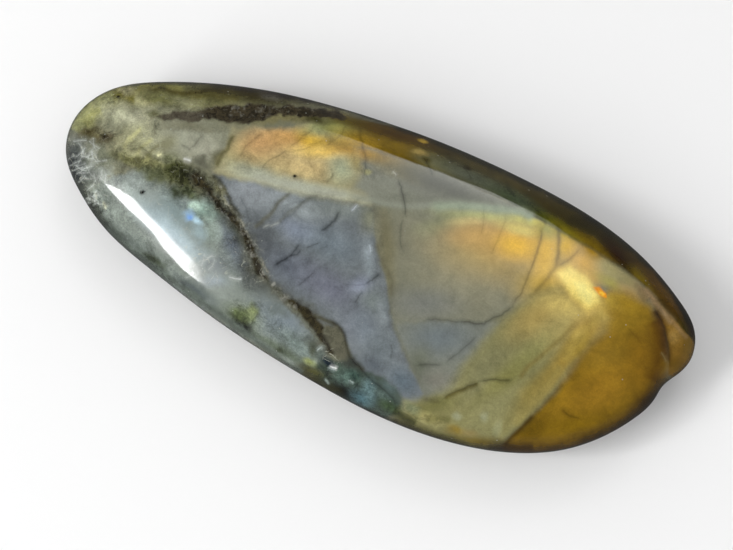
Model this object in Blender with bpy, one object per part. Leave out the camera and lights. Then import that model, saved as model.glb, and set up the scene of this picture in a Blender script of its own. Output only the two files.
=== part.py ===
"""A polished freeform of labradorite: one long, tongue-shaped pebble of feldspar, ground and tumbled smooth.

The stone lies on a flat polished underside. Seen from above, its narrow end is to the left (-X) and its broad end,
with a small notch beside a blunt tip, is to the right (+X). The crown is a low dome with one ground bevel along
the far long side (+Y), which meets the dome in a soft ridge. The origin is under the middle of the stone.
"""

import math

import bmesh
import bpy
import numpy as np

MM = 0.001

# Plan outline in millimetres, anticlockwise from the narrow end, as the stone is seen from straight above
OUTLINE = [
    (-45.0, 0.3), (-43.9, -4.3), (-40.3, -7.9), (-35.2, -11.0), (-28.1, -13.3), (-16.0, -16.2), (-4.0, -18.0),
    (8.0, -18.8), (18.0, -17.9), (24.8, -16.0), (30.6, -12.9), (35.0, -8.6), (37.8, -4.2), (39.8, 0.4),
    (40.6, 4.7), (39.7, 7.7), (36.2, 10.8), (30.8, 13.7), (22.9, 16.1), (12.0, 17.3), (-2.0, 17.4),
    (-16.0, 15.8), (-27.9, 13.1), (-37.0, 9.5), (-42.6, 5.7),
]
OUTLINE_CENTRE = (-1.5, -0.4)

# Heights above the underside, and how far in from the girdle the edges are rounded, in millimetres
GIRDLE_HEIGHT = 6.9
CROWN_HEIGHT = 7.9
SIDE_SAG = 0.18
END_SAG = 0.36
NEAR_ROUNDING = 4.8
END_ROUNDING = 3.6
FAR_ROUNDING = 1.7
HALF_WIDTH = 18.0
HALF_LENGTH = 42.0

# The ridge where the dome meets the far bevel, as plan points from left to right, and the bevel's extra slope
RIDGE = [(-30.0, 9.0), (-11.0, 11.2), (9.0, 12.2), (18.5, 11.8), (27.0, 10.8), (33.0, 9.2), (40.0, 7.4)]
RIDGE_STARTS = -24.0
RIDGE_FULL = -6.0
BEVEL_SLOPE = 0.62
RIDGE_ROUNDING = 0.45

# The notch beside the tip, and the shallow groove that runs up the crown from it
NOTCH_ANGLE = math.radians(0.6)
NOTCH_WIDTH = math.radians(3.4)
NOTCH_DEPTH = 0.022
NOTCH_FADE = 6.0
GROOVE_FROM = (33.6, 8.6)
GROOVE_TO = (39.6, -0.6)
GROOVE_WIDTH = 1.5
GROOVE_DEPTH = 0.75

# Slow waves left by hand grinding: millimetres high, millimetres from crest to crest, and the way they run
WAVES = [(0.08, 37.0, 20.0), (0.06, 24.0, 75.0), (0.03, 16.0, 130.0)]

# The underside
UNDERSIDE_DROP = 1.15
UNDERSIDE_EDGE = 5.6
UNDERSIDE_ROUNDING = 0.8
BASE_REACH = 0.50

# How finely the solid is cut
SECTORS = 112
CROWN_RINGS = 26
UNDER_RINGS = 12
END_CROWDING = 0.35
TIP_CROWDING = 0.25
CROWN_CAP = 0.06

STONE_COLOUR = (0.20, 0.21, 0.17, 1.0)
STONE_ROUGHNESS = 0.12


def smooth_step(low, high, value):
    """0 below low, 1 above high, and an even curve between."""
    share = np.clip((value - low) / (high - low), 0.0, 1.0)
    return share * share * (3.0 - 2.0 * share)


def hinge(value, rounding):
    """0 below zero and value above it, rounded where they meet."""
    return 0.5 * (value + np.sqrt(value * value + rounding * rounding)) - 0.5 * rounding


def spline_bends(lengths, points):
    """The second derivative at each point of a smooth closed curve through the points."""
    count = len(points)
    matrix = np.zeros((count, count))
    right = np.zeros((count, 2))
    for i in range(count):
        before, after = lengths[i - 1], lengths[i]
        matrix[i, i - 1] = before
        matrix[i, i] = 2.0 * (before + after)
        matrix[i, (i + 1) % count] = after
        ahead = (points[(i + 1) % count] - points[i]) / after
        behind = (points[i] - points[i - 1]) / before
        right[i] = 6.0 * (ahead - behind)
    return np.linalg.solve(matrix, right)


def closed_curve(points, steps=60):
    """A smooth closed curve through the points, as many short steps."""
    points = np.array(points, float)
    following = np.roll(points, -1, axis=0)
    lengths = np.linalg.norm(following - points, axis=1)
    bends = spline_bends(lengths, points)
    curve = []
    for i, length in enumerate(lengths):
        along = np.linspace(0.0, 1.0, steps, endpoint=False)[:, None]
        back = 1.0 - along
        pull_back = (back**3 - back) * bends[i]
        pull_on = (along**3 - along) * bends[(i + 1) % len(points)]
        curve.append(back * points[i] + along * following[i] + (pull_back + pull_on) * length**2 / 6.0)
    return np.vstack(curve)


def spread_along(curve, shares):
    """The points that lie at these shares of the closed curve's length."""
    closed = np.vstack([curve, curve[:1]])
    run = np.concatenate([[0.0], np.cumsum(np.linalg.norm(np.diff(closed, axis=0), axis=1))])
    wanted = np.asarray(shares) * run[-1]
    return np.stack([np.interp(wanted, run, closed[:, k]) for k in (0, 1)], axis=1)


def plan_point(edge, reach):
    """Plan position of what lies at reach (0 centre, 1 edge) on the way to an edge point, with the notch taken out."""
    away = edge - np.array(OUTLINE_CENTRE)
    angle = np.arctan2(away[:, 1], away[:, 0])
    notch = NOTCH_DEPTH * np.exp(-(((angle - NOTCH_ANGLE) / NOTCH_WIDTH) ** 2)) * reach**NOTCH_FADE
    return np.array(OUTLINE_CENTRE) + away * (reach * (1.0 - notch))[:, None]


def waves(x, y):
    """Height of the slow grinding waves."""
    height = 0.0
    for high, crest_to_crest, degrees in WAVES:
        way = math.radians(degrees)
        along = x * math.cos(way) + y * math.sin(way)
        height = height + high * np.sin(2.0 * math.pi * along / crest_to_crest)
    return height


def bevel_drop(x, y):
    """How far the far bevel lies under the dome."""
    ridge = np.interp(x, [p[0] for p in RIDGE], [p[1] for p in RIDGE])
    strength = smooth_step(RIDGE_STARTS, RIDGE_FULL, x)
    return BEVEL_SLOPE * strength * hinge(y - ridge, RIDGE_ROUNDING)


def groove_drop(x, y):
    """Depth of the groove that runs up the crown from the notch."""
    start, end = np.array(GROOVE_FROM), np.array(GROOVE_TO)
    way = end - start
    share = np.clip(((x - start[0]) * way[0] + (y - start[1]) * way[1]) / (way @ way), 0.0, 1.0)
    apart = np.hypot(x - start[0] - share * way[0], y - start[1] - share * way[1])
    return GROOVE_DEPTH * (0.35 + 0.65 * share) * np.exp(-((apart / GROOVE_WIDTH) ** 2))


def crown_height(plan, edge, reach):
    """Height of the upper surface."""
    x, y = plan[:, 0], plan[:, 1]
    away = edge - np.array(OUTLINE_CENTRE)
    span = np.hypot(away[:, 0], away[:, 1])
    farness = smooth_step(-0.15, 0.75, away[:, 1] / span) * smooth_step(-34.0, -8.0, x)
    endness = smooth_step(HALF_WIDTH, HALF_LENGTH, span)
    rounding = NEAR_ROUNDING + (END_ROUNDING - NEAR_ROUNDING) * endness
    rounding = rounding + (FAR_ROUNDING - rounding) * farness
    sag = SIDE_SAG + (END_SAG - SIDE_SAG) * endness
    dome = CROWN_HEIGHT * (1.0 - sag * reach**2)
    body = dome + waves(x, y) - bevel_drop(x, y) - groove_drop(x, y)
    return GIRDLE_HEIGHT + body * np.sqrt(np.clip(1.0 - reach ** (span / rounding), 0.0, 1.0))


def under_height(edge, reach):
    """Height of the lower surface, which is flat from the base's edge inwards."""
    away = edge - np.array(OUTLINE_CENTRE)
    power = np.hypot(away[:, 0], away[:, 1]) / UNDERSIDE_EDGE
    drop = GIRDLE_HEIGHT * UNDERSIDE_DROP * np.sqrt(np.clip(1.0 - reach**power, 0.0, 1.0))
    above = GIRDLE_HEIGHT - drop
    blend = np.clip((UNDERSIDE_ROUNDING - np.abs(above)) / UNDERSIDE_ROUNDING, 0.0, 1.0)
    return np.maximum(above, 0.0) + blend**3 * UNDERSIDE_ROUNDING / 6.0


def sector_shares():
    """Shares of the outline's length for the sectors, closer together at both ends and closest at the tip."""
    even = np.linspace(0.0, 1.0, SECTORS, endpoint=False)
    ends = END_CROWDING * np.sin(4.0 * math.pi * even) / (4.0 * math.pi)
    tip = -TIP_CROWDING * np.sin(2.0 * math.pi * even) / (2.0 * math.pi)
    return even - ends - tip


def ring_points():
    """The rings of the stone from the middle of the crown, over the girdle, to the edge of the base."""
    edge = spread_along(closed_curve(OUTLINE), sector_shares())
    rings = []
    first = math.asin(CROWN_CAP)
    for turn in np.linspace(first, math.pi / 2.0, CROWN_RINGS):
        reach = np.full(len(edge), math.sin(turn))
        plan = plan_point(edge, reach)
        rings.append(np.column_stack([plan, crown_height(plan, edge, reach)]))
    last = math.asin(BASE_REACH)
    for turn in np.linspace(math.pi / 2.0, last, UNDER_RINGS + 1)[1:]:
        reach = np.full(len(edge), math.sin(turn))
        plan = plan_point(edge, reach)
        rings.append(np.column_stack([plan, under_height(edge, reach)]))
    return rings


def centred(rings):
    """The rings moved so that the stone's box is centred on the origin, with its lowest point at zero."""
    points = np.vstack(rings)
    low, high = points.min(axis=0), points.max(axis=0)
    shift = np.array([(low[0] + high[0]) / 2.0, (low[1] + high[1]) / 2.0, low[2]])
    return [ring - shift for ring in rings]


def stone_mesh():
    """The closed mesh of the stone, in metres."""
    build = bmesh.new()
    loops = []
    for ring in centred(ring_points()):
        corners = [build.verts.new(point * MM) for point in ring]
        loops.append([build.edges.new((a, b)) for a, b in zip(corners, corners[1:] + corners[:1], strict=True)])
    for upper, lower in zip(loops, loops[1:], strict=False):
        bmesh.ops.bridge_loops(build, edges=upper + lower)
    bmesh.ops.holes_fill(build, edges=build.edges, sides=SECTORS)
    bmesh.ops.recalc_face_normals(build, faces=build.faces)
    mesh = bpy.data.meshes.new("labradorite_stone")
    build.to_mesh(mesh)
    build.free()
    mesh.shade_smooth()
    mesh.set_sharp_from_angle(angle=math.radians(40.0))
    return mesh


def stone_material():
    """Grey-green feldspar with a wet-looking polish."""
    material = bpy.data.materials.new("polished_labradorite")
    material.use_nodes = True
    surface = material.node_tree.nodes["Principled BSDF"]
    surface.inputs["Base Color"].default_value = STONE_COLOUR
    surface.inputs["Roughness"].default_value = STONE_ROUGHNESS
    surface.inputs["Metallic"].default_value = 0.0
    return material


def clear_scene():
    for old in list(bpy.data.objects):
        bpy.data.objects.remove(old)


def main():
    clear_scene()
    mesh = stone_mesh()
    mesh.materials.append(stone_material())
    stone = bpy.data.objects.new("labradorite_stone", mesh)
    bpy.context.scene.collection.objects.link(stone)


main()
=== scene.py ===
"""A polished freeform of labradorite, lying on its flat underside on a pale floor.

The stone is one natural piece. Its crown is remade here with a fine surface, and its flash, inclusions,
cracks and rough seam are laid on it where they lie in the stone. Lengths are in millimetres until a mesh is
made.
"""

import math

import bpy
import numpy as np
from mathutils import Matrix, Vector
from mathutils.geometry import delaunay_2d_cdt


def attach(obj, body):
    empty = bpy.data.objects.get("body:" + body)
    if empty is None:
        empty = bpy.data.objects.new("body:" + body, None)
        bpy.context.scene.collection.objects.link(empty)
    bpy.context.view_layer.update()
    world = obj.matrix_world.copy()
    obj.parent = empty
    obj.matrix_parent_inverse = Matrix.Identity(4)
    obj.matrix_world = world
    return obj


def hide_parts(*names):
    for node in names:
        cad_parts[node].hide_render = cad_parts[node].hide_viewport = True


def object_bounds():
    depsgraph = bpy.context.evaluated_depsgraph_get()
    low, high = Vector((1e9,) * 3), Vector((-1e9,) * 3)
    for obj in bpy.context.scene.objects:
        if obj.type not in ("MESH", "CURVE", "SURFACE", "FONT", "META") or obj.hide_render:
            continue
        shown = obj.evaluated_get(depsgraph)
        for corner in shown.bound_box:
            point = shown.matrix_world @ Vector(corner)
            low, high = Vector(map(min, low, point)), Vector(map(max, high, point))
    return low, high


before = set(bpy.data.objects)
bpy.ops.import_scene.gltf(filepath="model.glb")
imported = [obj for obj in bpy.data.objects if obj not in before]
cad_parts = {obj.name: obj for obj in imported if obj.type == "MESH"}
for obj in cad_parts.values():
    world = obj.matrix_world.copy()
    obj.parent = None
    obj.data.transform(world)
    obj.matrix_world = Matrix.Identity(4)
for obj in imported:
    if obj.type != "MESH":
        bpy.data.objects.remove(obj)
cad_low, cad_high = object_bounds()
MM = 0.001

# The view of the stone: almost from above, from the near right. The stone's markings are placed by where they
# are seen from here, in pixels of a frame 733 wide and 550 high, so the camera comes first.
FRAME_WIDE, FRAME_HIGH = 733, 550
VIEW_AZIMUTH = math.radians(24.67)
VIEW_ELEVATION = math.radians(75.0)
VIEW_AIM = (0.53, -1.88, 5.98)
VIEW_DISTANCE = 314.8
LENS = 120.0
SENSOR = 36.0
CLIP_START = 0.01


def way_towards(azimuth, elevation):
    """The direction from the stone to something at this azimuth and elevation, in radians."""
    level = math.cos(elevation)
    return np.array([math.sin(azimuth) * level, -math.cos(azimuth) * level, math.sin(elevation)])


def placed(name, data):
    """A new object of the scene."""
    made = bpy.data.objects.new(name, data)
    bpy.context.scene.collection.objects.link(made)
    return made


toward_view = way_towards(VIEW_AZIMUTH, VIEW_ELEVATION)
view_right = np.array([math.cos(VIEW_AZIMUTH), math.sin(VIEW_AZIMUTH), 0.0])
view_up = np.cross(toward_view, view_right)
view_from = np.array(VIEW_AIM) + toward_view * VIEW_DISTANCE
focal = LENS / SENSOR * FRAME_WIDE

camera = placed("view_camera", bpy.data.cameras.new("view_camera"))
camera.data.lens = LENS
camera.data.sensor_width = SENSOR
camera.data.clip_start = CLIP_START
camera.location = Vector(view_from * MM)
camera.rotation_euler = Vector(toward_view).to_track_quat("Z", "Y").to_euler()
bpy.context.scene.camera = camera


def seen_at(points):
    """Where points of the stone are seen in the view, in pixels."""
    offset = points - view_from
    depth = -(offset @ toward_view)
    across = FRAME_WIDE / 2.0 + focal * (offset @ view_right) / depth
    down = FRAME_HIGH / 2.0 - focal * (offset @ view_up) / depth
    return np.column_stack([across, down])


# The stone: one pebble of labradorite, sawn, ground by hand on a wheel and tumbled to a wet-looking polish.
# The crown is a low dome with a ground bevel along the far side, and the rim is rounded all the way round.
OUTLINE = [
    (-45.0, 0.3), (-43.9, -4.3), (-40.3, -7.9), (-35.2, -11.0), (-28.1, -13.3), (-16.0, -16.2),
    (-4.0, -18.0), (8.0, -18.8), (18.0, -17.9), (24.8, -16.0), (30.6, -12.9), (35.0, -8.6), (37.8, -4.2),
    (39.8, 0.4), (40.6, 4.7), (39.7, 7.7), (36.2, 10.8), (30.8, 13.7), (22.9, 16.1), (12.0, 17.3),
    (-2.0, 17.4), (-16.0, 15.8), (-27.9, 13.1), (-37.0, 9.5), (-42.6, 5.7),
]
CENTRE = np.array((-1.5, -0.4))
CURVE_STEPS = 60
GIRDLE_HEIGHT = 6.9
CROWN_HEIGHT = 7.9
SIDE_SAG, END_SAG = 0.18, 0.36
NEAR_ROUNDING, END_ROUNDING, FAR_ROUNDING = 4.8, 3.6, 1.7
HALF_WIDTH, HALF_LENGTH = 18.0, 42.0
# Where the far side's rounding sets in, by the sine of the direction and along the stone
FAR_TURN, FAR_RUN = (-0.15, 0.75), (-34.0, -8.0)
RIDGE = [(-30.0, 9.0), (-11.0, 11.2), (9.0, 12.2), (18.5, 11.8), (27.0, 10.8), (33.0, 9.2), (40.0, 7.4)]
RIDGE_RUN = (-24.0, -6.0)
BEVEL_SLOPE = 0.62
RIDGE_ROUNDING = [(17.0, 0.14), (23.0, 0.9), (28.0, 1.3)]
NOTCH_ANGLE, NOTCH_WIDTH = math.radians(0.6), math.radians(3.4)
NOTCH_DEPTH, NOTCH_FADE = 0.022, 6.0
GROOVE_FROM, GROOVE_TO = np.array((33.6, 8.6)), np.array((39.6, -0.6))
GROOVE_WIDTH, GROOVE_DEPTH = 1.5, 0.75
GROOVE_START = 0.35
# Waves of the polish: height, distance from crest to crest, and direction in degrees
WAVES = [(0.08, 37.0, 20.0), (0.06, 24.0, 75.0), (0.03, 16.0, 130.0)]
UNDERSIDE_DROP, UNDERSIDE_EDGE, UNDERSIDE_ROUNDING = 1.15, 5.6, 0.8
BASE_REACH = 0.50
# How fine the surface is: spacing on the crown, then points and rings on the rim and under it
CROWN_SPACING = 0.205
RIM_POINTS = 1040
UNDER_POINTS = RIM_POINTS // 2
RIM_INSET = 0.8
RIM_RINGS = 12
UNDER_RINGS = 26
# Rows of points follow the ridge and the hairlines. The rows and the grid between them keep clear of the rim,
# and the grid leaves out each point that has a row in its cell or the next.
RIDGE_ROW_X, RIDGE_ROW_GAP = np.arange(-20.0, 39.0, 0.2), 0.13
HAIRLINE = 2.0
ROW_CLEAR, GRID_CLEAR = 0.15, 0.13
CELL = 0.13
MERGE_WITHIN = 1e-5
REACH_ROUNDS, HIT_ROUNDS = 6, 8


def smooth_step(low, high, value):
    """0 below low, 1 above high, and an even curve between."""
    share = np.clip((value - low) / (high - low), 0.0, 1.0)
    return share * share * (3.0 - 2.0 * share)


def read_off(table, x):
    """The value at x in a table of x and value, evenly between its rows."""
    return np.interp(x, [row[0] for row in table], [row[1] for row in table])


def closed_curve(points):
    """A smooth closed curve through the points, as many short steps."""
    points = np.array(points, float)
    following = np.roll(points, -1, axis=0)
    count = len(points)
    lengths = np.linalg.norm(following - points, axis=1)
    matrix = np.zeros((count, count))
    right = np.zeros((count, 2))
    for i in range(count):
        before, after = lengths[i - 1], lengths[i]
        matrix[i, i - 1] = before
        matrix[i, i] = 2.0 * (before + after)
        matrix[i, (i + 1) % count] = after
        right[i] = 6.0 * ((following[i] - points[i]) / after - (points[i] - points[i - 1]) / before)
    bends = np.linalg.solve(matrix, right)
    along = np.linspace(0.0, 1.0, CURVE_STEPS, endpoint=False)[:, None]
    back = 1.0 - along
    curve = []
    for i in range(count):
        pull = (back**3 - back) * bends[i] + (along**3 - along) * bends[(i + 1) % count]
        curve.append(back * points[i] + along * following[i] + pull * lengths[i] ** 2 / 6.0)
    return np.vstack(curve)


def from_centre(plan):
    """Each plan point's offset, direction and distance from the stone's centre."""
    away = plan - CENTRE
    return away, np.arctan2(away[:, 1], away[:, 0]), np.hypot(away[:, 0], away[:, 1])


outline = closed_curve(OUTLINE)
_, outline_angle, outline_span = from_centre(outline)


def notch_at(angle):
    """How far the notch cuts in, as a share of the distance from the centre to the outline."""
    return NOTCH_DEPTH * np.exp(-(((angle - NOTCH_ANGLE) / NOTCH_WIDTH) ** 2))


def reach_of(plan):
    """For each plan point, its direction, the outline's distance that way, and its share of that distance."""
    _, angle, apart = from_centre(plan)
    span = np.interp(angle, outline_angle, outline_span, period=2.0 * math.pi)
    share = apart / span
    reach = share
    for _ in range(REACH_ROUNDS):
        reach = share / (1.0 - notch_at(angle) * np.minimum(reach, 1.0) ** NOTCH_FADE)
    return angle, span, reach


def dome(reach, span, rounding):
    """Height of a flat-topped dome, 1 in the middle and 0 at the edge, rounded off towards the edge."""
    return np.sqrt(np.clip(1.0 - reach ** (span / rounding), 0.0, 1.0))


def crown_height(plan, angle, span, reach):
    """Height of the upper surface over the girdle's plane."""
    x, y = plan[:, 0], plan[:, 1]
    farness = smooth_step(*FAR_TURN, np.sin(angle)) * smooth_step(*FAR_RUN, x)
    endness = smooth_step(HALF_WIDTH, HALF_LENGTH, span)
    rounding = NEAR_ROUNDING + (END_ROUNDING - NEAR_ROUNDING) * endness
    rounding = rounding + (FAR_ROUNDING - rounding) * farness
    sag = SIDE_SAG + (END_SAG - SIDE_SAG) * endness
    body = CROWN_HEIGHT * (1.0 - sag * reach**2)
    for high, crest_to_crest, degrees in WAVES:
        way = math.radians(degrees)
        body = body + high * np.sin(2.0 * math.pi * (x * math.cos(way) + y * math.sin(way)) / crest_to_crest)
    gap = y - read_off(RIDGE, x)
    crease = read_off(RIDGE_ROUNDING, x)
    beyond = 0.5 * (gap + np.sqrt(gap * gap + crease * crease) - crease)
    body = body - BEVEL_SLOPE * smooth_step(*RIDGE_RUN, x) * beyond
    way = GROOVE_TO - GROOVE_FROM
    share = np.clip((plan - GROOVE_FROM) @ way / (way @ way), 0.0, 1.0)
    apart = np.linalg.norm(plan - GROOVE_FROM - share[:, None] * way, axis=1)
    depth = GROOVE_DEPTH * (GROOVE_START + (1.0 - GROOVE_START) * share)
    body = body - depth * np.exp(-((apart / GROOVE_WIDTH) ** 2))
    return body * dome(reach, span, rounding)


def under_height(span, reach):
    """Height of the lower surface over the base."""
    above = GIRDLE_HEIGHT - GIRDLE_HEIGHT * UNDERSIDE_DROP * dome(reach, span, UNDERSIDE_EDGE)
    blend = np.clip((UNDERSIDE_ROUNDING - np.abs(above)) / UNDERSIDE_ROUNDING, 0.0, 1.0)
    return np.maximum(above, 0.0) + blend**3 * UNDERSIDE_ROUNDING / 6.0


def run_along(line):
    """Distance along a line of points to each of them."""
    return np.concatenate([[0.0], np.cumsum(np.linalg.norm(np.diff(line, axis=0), axis=1))])


def points_at(line, run, wanted):
    """Points of the line at the wanted distances along it."""
    return np.stack([np.interp(wanted, run, line[:, k]) for k in (0, 1)], axis=1)


closed_outline = np.vstack([outline, outline[:1]])
outline_run = run_along(closed_outline)
edge = points_at(closed_outline, outline_run, np.linspace(0.0, outline_run[-1], RIM_POINTS, endpoint=False))
edge_way, edge_angle, edge_span = from_centre(edge)


def ring_plan(reach, step=1):
    """Plan points of a ring at this reach, on every step-th line from the centre to the edge."""
    share = reach * (1.0 - notch_at(edge_angle[::step]) * reach**NOTCH_FADE)
    return CENTRE + edge_way[::step] * share[:, None]


def upper_ring(share):
    """A ring on the rim, from 0 at the inset to 1 at the girdle, with even steps down the rounded edge."""
    reach = 1.0 - RIM_INSET / edge_span * (1.0 - share) ** 2
    plan = ring_plan(reach)
    return np.column_stack([plan, GIRDLE_HEIGHT + crown_height(plan, edge_angle, edge_span, reach)])


def lower_ring(turn):
    """A ring below the girdle, with half as many points, at this angle down the side."""
    reach = np.full(UNDER_POINTS, math.sin(turn))
    return np.column_stack([ring_plan(reach, 2), under_height(edge_span[::2], reach)])


rim = [upper_ring(share) for share in np.linspace(0.0, 1.0, RIM_RINGS + 1)]
under = [lower_ring(turn) for turn in np.linspace(math.pi / 2.0, math.asin(BASE_REACH), UNDER_RINGS + 1)[1:]]
all_rings = np.vstack(rim + under)
girdle_low, girdle_high = all_rings.min(axis=0), all_rings.max(axis=0)
cad_middle = (np.array(cad_low) + np.array(cad_high)) / 2.0 / MM
girdle_middle = (girdle_low + girdle_high)[:2] / 2.0
plan_fit = (np.array(cad_high) - np.array(cad_low))[:2] / MM / (girdle_high - girdle_low)[:2]


def on_crown(plan):
    """The points of the crown over these plan points, before the stone is centred."""
    angle, span, reach = reach_of(plan)
    return np.column_stack([plan, GIRDLE_HEIGHT + crown_height(plan, angle, span, np.minimum(reach, 1.0))])


def centred(points):
    """The points with their plan moved and fitted to the solid's."""
    plan = (points[:, :2] - girdle_middle) * plan_fit + cad_middle[:2]
    return np.column_stack([plan, points[:, 2]])


def under_pixel(pixels):
    """Plan points of the crown that are seen at these pixels."""
    pixels = np.array(pixels, float)
    ray = np.outer((pixels[:, 0] - FRAME_WIDE / 2.0) / focal, view_right)
    ray -= np.outer((pixels[:, 1] - FRAME_HIGH / 2.0) / focal, view_up)
    ray -= toward_view
    height = np.full(len(pixels), GIRDLE_HEIGHT + CROWN_HEIGHT)
    for _ in range(HIT_ROUNDS):
        hit = view_from + ray * ((height - view_from[2]) / ray[:, 2])[:, None]
        plan = (hit[:, :2] - cad_middle[:2]) / plan_fit + girdle_middle
        height = 0.5 * height + 0.5 * on_crown(plan)[:, 2]
    return plan


# Steps of the sine that soft_noise scatters its values by
NOISE_STEPS, NOISE_STRETCH = (127.1, 311.7, 74.7), 43758.5453


def soft_noise(x, y, size, seed):
    """Smooth random lumps between -1 and 1, about size apart."""
    x, y = x / size, y / size
    left, low = np.floor(x), np.floor(y)
    across, up = x - left, y - low
    across = across * across * (3.0 - 2.0 * across)
    up = up * up * (3.0 - 2.0 * up)

    def corner(i, j):
        wild = np.sin(i * NOISE_STEPS[0] + j * NOISE_STEPS[1] + seed * NOISE_STEPS[2]) * NOISE_STRETCH
        return 2.0 * (wild - np.floor(wild)) - 1.0

    lower = corner(left, low) * (1.0 - across) + corner(left + 1, low) * across
    upper = corner(left, low + 1) * (1.0 - across) + corner(left + 1, low + 1) * across
    return lower * (1.0 - up) + upper * up


# Cracks and healed cracks: width and darkness, and points along each, in pixels of the view. They are
# hairlines inside the polish, so they are colour only.
# One line, at the tip, is painted shade down the valley between the gold end and the facet.
CRACKS_AND_VALLEY_SHADE = [
    (1.5, 0.45, [(541, 229), (541, 240), (538, 250), (533, 264), (526, 281), (520, 294), (512, 306)]),
    (1.5, 0.55, [(512, 307), (502, 314), (492, 319), (483, 324)]),
    (1.6, 0.62, [(484, 324), (473, 323), (462, 321)]),
    (1.3, 0.42, [(462, 321), (450, 321), (438, 319), (424, 321)]),
    (2.4, 0.42, [(558, 226), (559, 238), (559, 251), (556, 266), (550, 276), (541, 286), (531, 296)]),
    (1.8, 0.42, [(579, 249), (569, 259), (557, 266)]),
    (1.6, 0.48, [(418, 366), (428, 364), (441, 365)]),
    (1.3, 0.42, [(446, 362), (454, 356), (466, 346), (477, 337)]),
    (1.4, 0.50, [(443, 398), (457, 391), (468, 387), (480, 381)]),
    (1.7, 0.66, [(481, 381), (494, 379), (511, 380)]),
    (1.5, 0.50, [(562, 409), (570, 416), (580, 419)]),
    (1.3, 0.45, [(360, 129), (362, 145), (366, 159), (366, 168), (364, 177)]),
    (1.2, 0.62, [(398, 180), (402, 190), (405, 204), (406, 216)]),
    (1.2, 0.45, [(426, 160), (430, 168), (432, 176)]),
    (1.4, 0.42, [(286, 150), (280, 156), (270, 159), (264, 164), (262, 169)]),
    (1.3, 0.30, [(330, 140), (318, 143), (306, 148), (294, 152)]),
    (1.8, 0.72, [(339, 212), (335, 219), (328, 226), (320, 231)]),
    (1.9, 0.85, [(275, 264), (282, 261), (289, 257)]),
    (1.2, 0.62, [(289, 257), (295, 250), (299, 244)]),
    (1.4, 0.60, [(290, 257), (296, 254), (301, 251)]),
    (1.2, 0.52, [(306, 248), (312, 245), (319, 242)]),
    (1.2, 0.45, [(299, 286), (304, 280), (314, 272)]),
    (1.2, 0.52, [(354, 302), (359, 298), (362, 292)]),
    (1.5, 0.62, [(366, 284), (372, 279), (380, 275)]),
    (1.1, 0.28, [(344, 285), (356, 285), (366, 284)]),
    (1.8, 0.26, [(320, 194), (306, 200), (294, 212), (281, 222)]),
    (1.6, 0.34, [(240, 195), (246, 208), (251, 224)]),
    (1.4, 0.34, [(262, 132), (254, 140), (246, 146), (240, 156)]),
    (1.2, 0.34, [(318, 124), (310, 132), (300, 139), (290, 147)]),
    (1.2, 0.30, [(346, 124), (342, 134), (334, 141), (322, 146)]),
    (2.2, 0.16, [
        (382, 262), (392, 280), (391, 300), (392, 322), (400, 342), (408, 360), (416, 374), (426, 394),
    ]),
    (2.6, 0.35, [(440, 401), (432, 401), (424, 398)]),
    (1.6, 0.30, [(628, 328), (636, 336), (642, 344)]),
    (1.2, 0.25, [(483, 208), (484, 222), (481, 236)]),
    (1.2, 0.25, [(506, 214), (503, 226), (498, 240), (492, 254)]),
    (1.2, 0.34, [(331, 168), (332, 176), (326, 183)]),
    (1.2, 0.35, [(402, 220), (400, 234), (402, 250)]),
    (1.2, 0.45, [(222, 239), (230, 240), (240, 242)]),
    (1.4, 0.42, [(391, 344), (392, 352), (391, 358)]),
    (1.2, 0.40, [(462, 166), (468, 172), (470, 178)]),
    (1.3, 0.40, [(506, 182), (510, 190), (514, 198)]),
    (1.3, 0.40, [(204, 134), (198, 141), (190, 149)]),
    (1.3, 0.40, [(181, 145), (186, 147), (191, 150)]),
    # Dark lines round the pocket, in the foot and at the tip, and over the arc's two cracks
    (2.2, 0.50, [(329, 321), (338, 325), (345, 337), (348, 350), (349, 356)]),
    (1.9, 0.60, [(349, 356), (356, 364), (363, 370), (371, 380), (383, 390), (394, 399), (397, 409)]),
    (1.7, 0.62, [(655, 308), (661, 320), (665, 331), (668, 345), (670, 366)]),
    (2.0, 0.30, [(558, 226), (559, 240), (559, 252), (557, 262)]),
    (1.4, 0.26, [(541, 228), (541, 240), (537, 254), (531, 268)]),
    (1.5, 0.40, [(352, 376), (358, 386), (356, 396)]),
]
# Pale fibres and grains, and glints painted as highlights, as colour, width and points
FIBRES_AND_GLINTS = [
    ((226, 224, 176), 1.4, [(158, 156), (161, 154)]),
    ((244, 246, 242), 1.2, [(185, 159), (190, 161)]),
    ((206, 206, 176), 1.2, [(104, 203), (106, 207)]),
    ((200, 204, 200), 0.8, [(230, 277), (236, 279), (241, 279)]),
    ((190, 196, 202), 0.8, [(352, 210), (357, 205)]),
    ((176, 176, 162), 0.8, [(393, 172), (396, 175)]),
    ((196, 206, 212), 0.8, [(370, 246), (371, 251)]),
    ((160, 164, 158), 1.1, [(265, 227), (269, 225)]),
    ((164, 168, 162), 1.1, [(272, 226), (277, 223)]),
    ((142, 126, 84), 0.8, [(662, 354), (666, 360)]),
    ((170, 180, 176), 0.8, [(318, 350), (321, 347)]),
    ((166, 180, 178), 0.8, [(329, 368), (334, 370)]),
    ((250, 252, 250), 1.1, [(331, 366), (336, 368)]),
    ((170, 184, 176), 1.2, [(326, 380), (328, 383)]),
    ((170, 184, 180), 0.7, [(351, 381), (353, 383)]),
]
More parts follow.
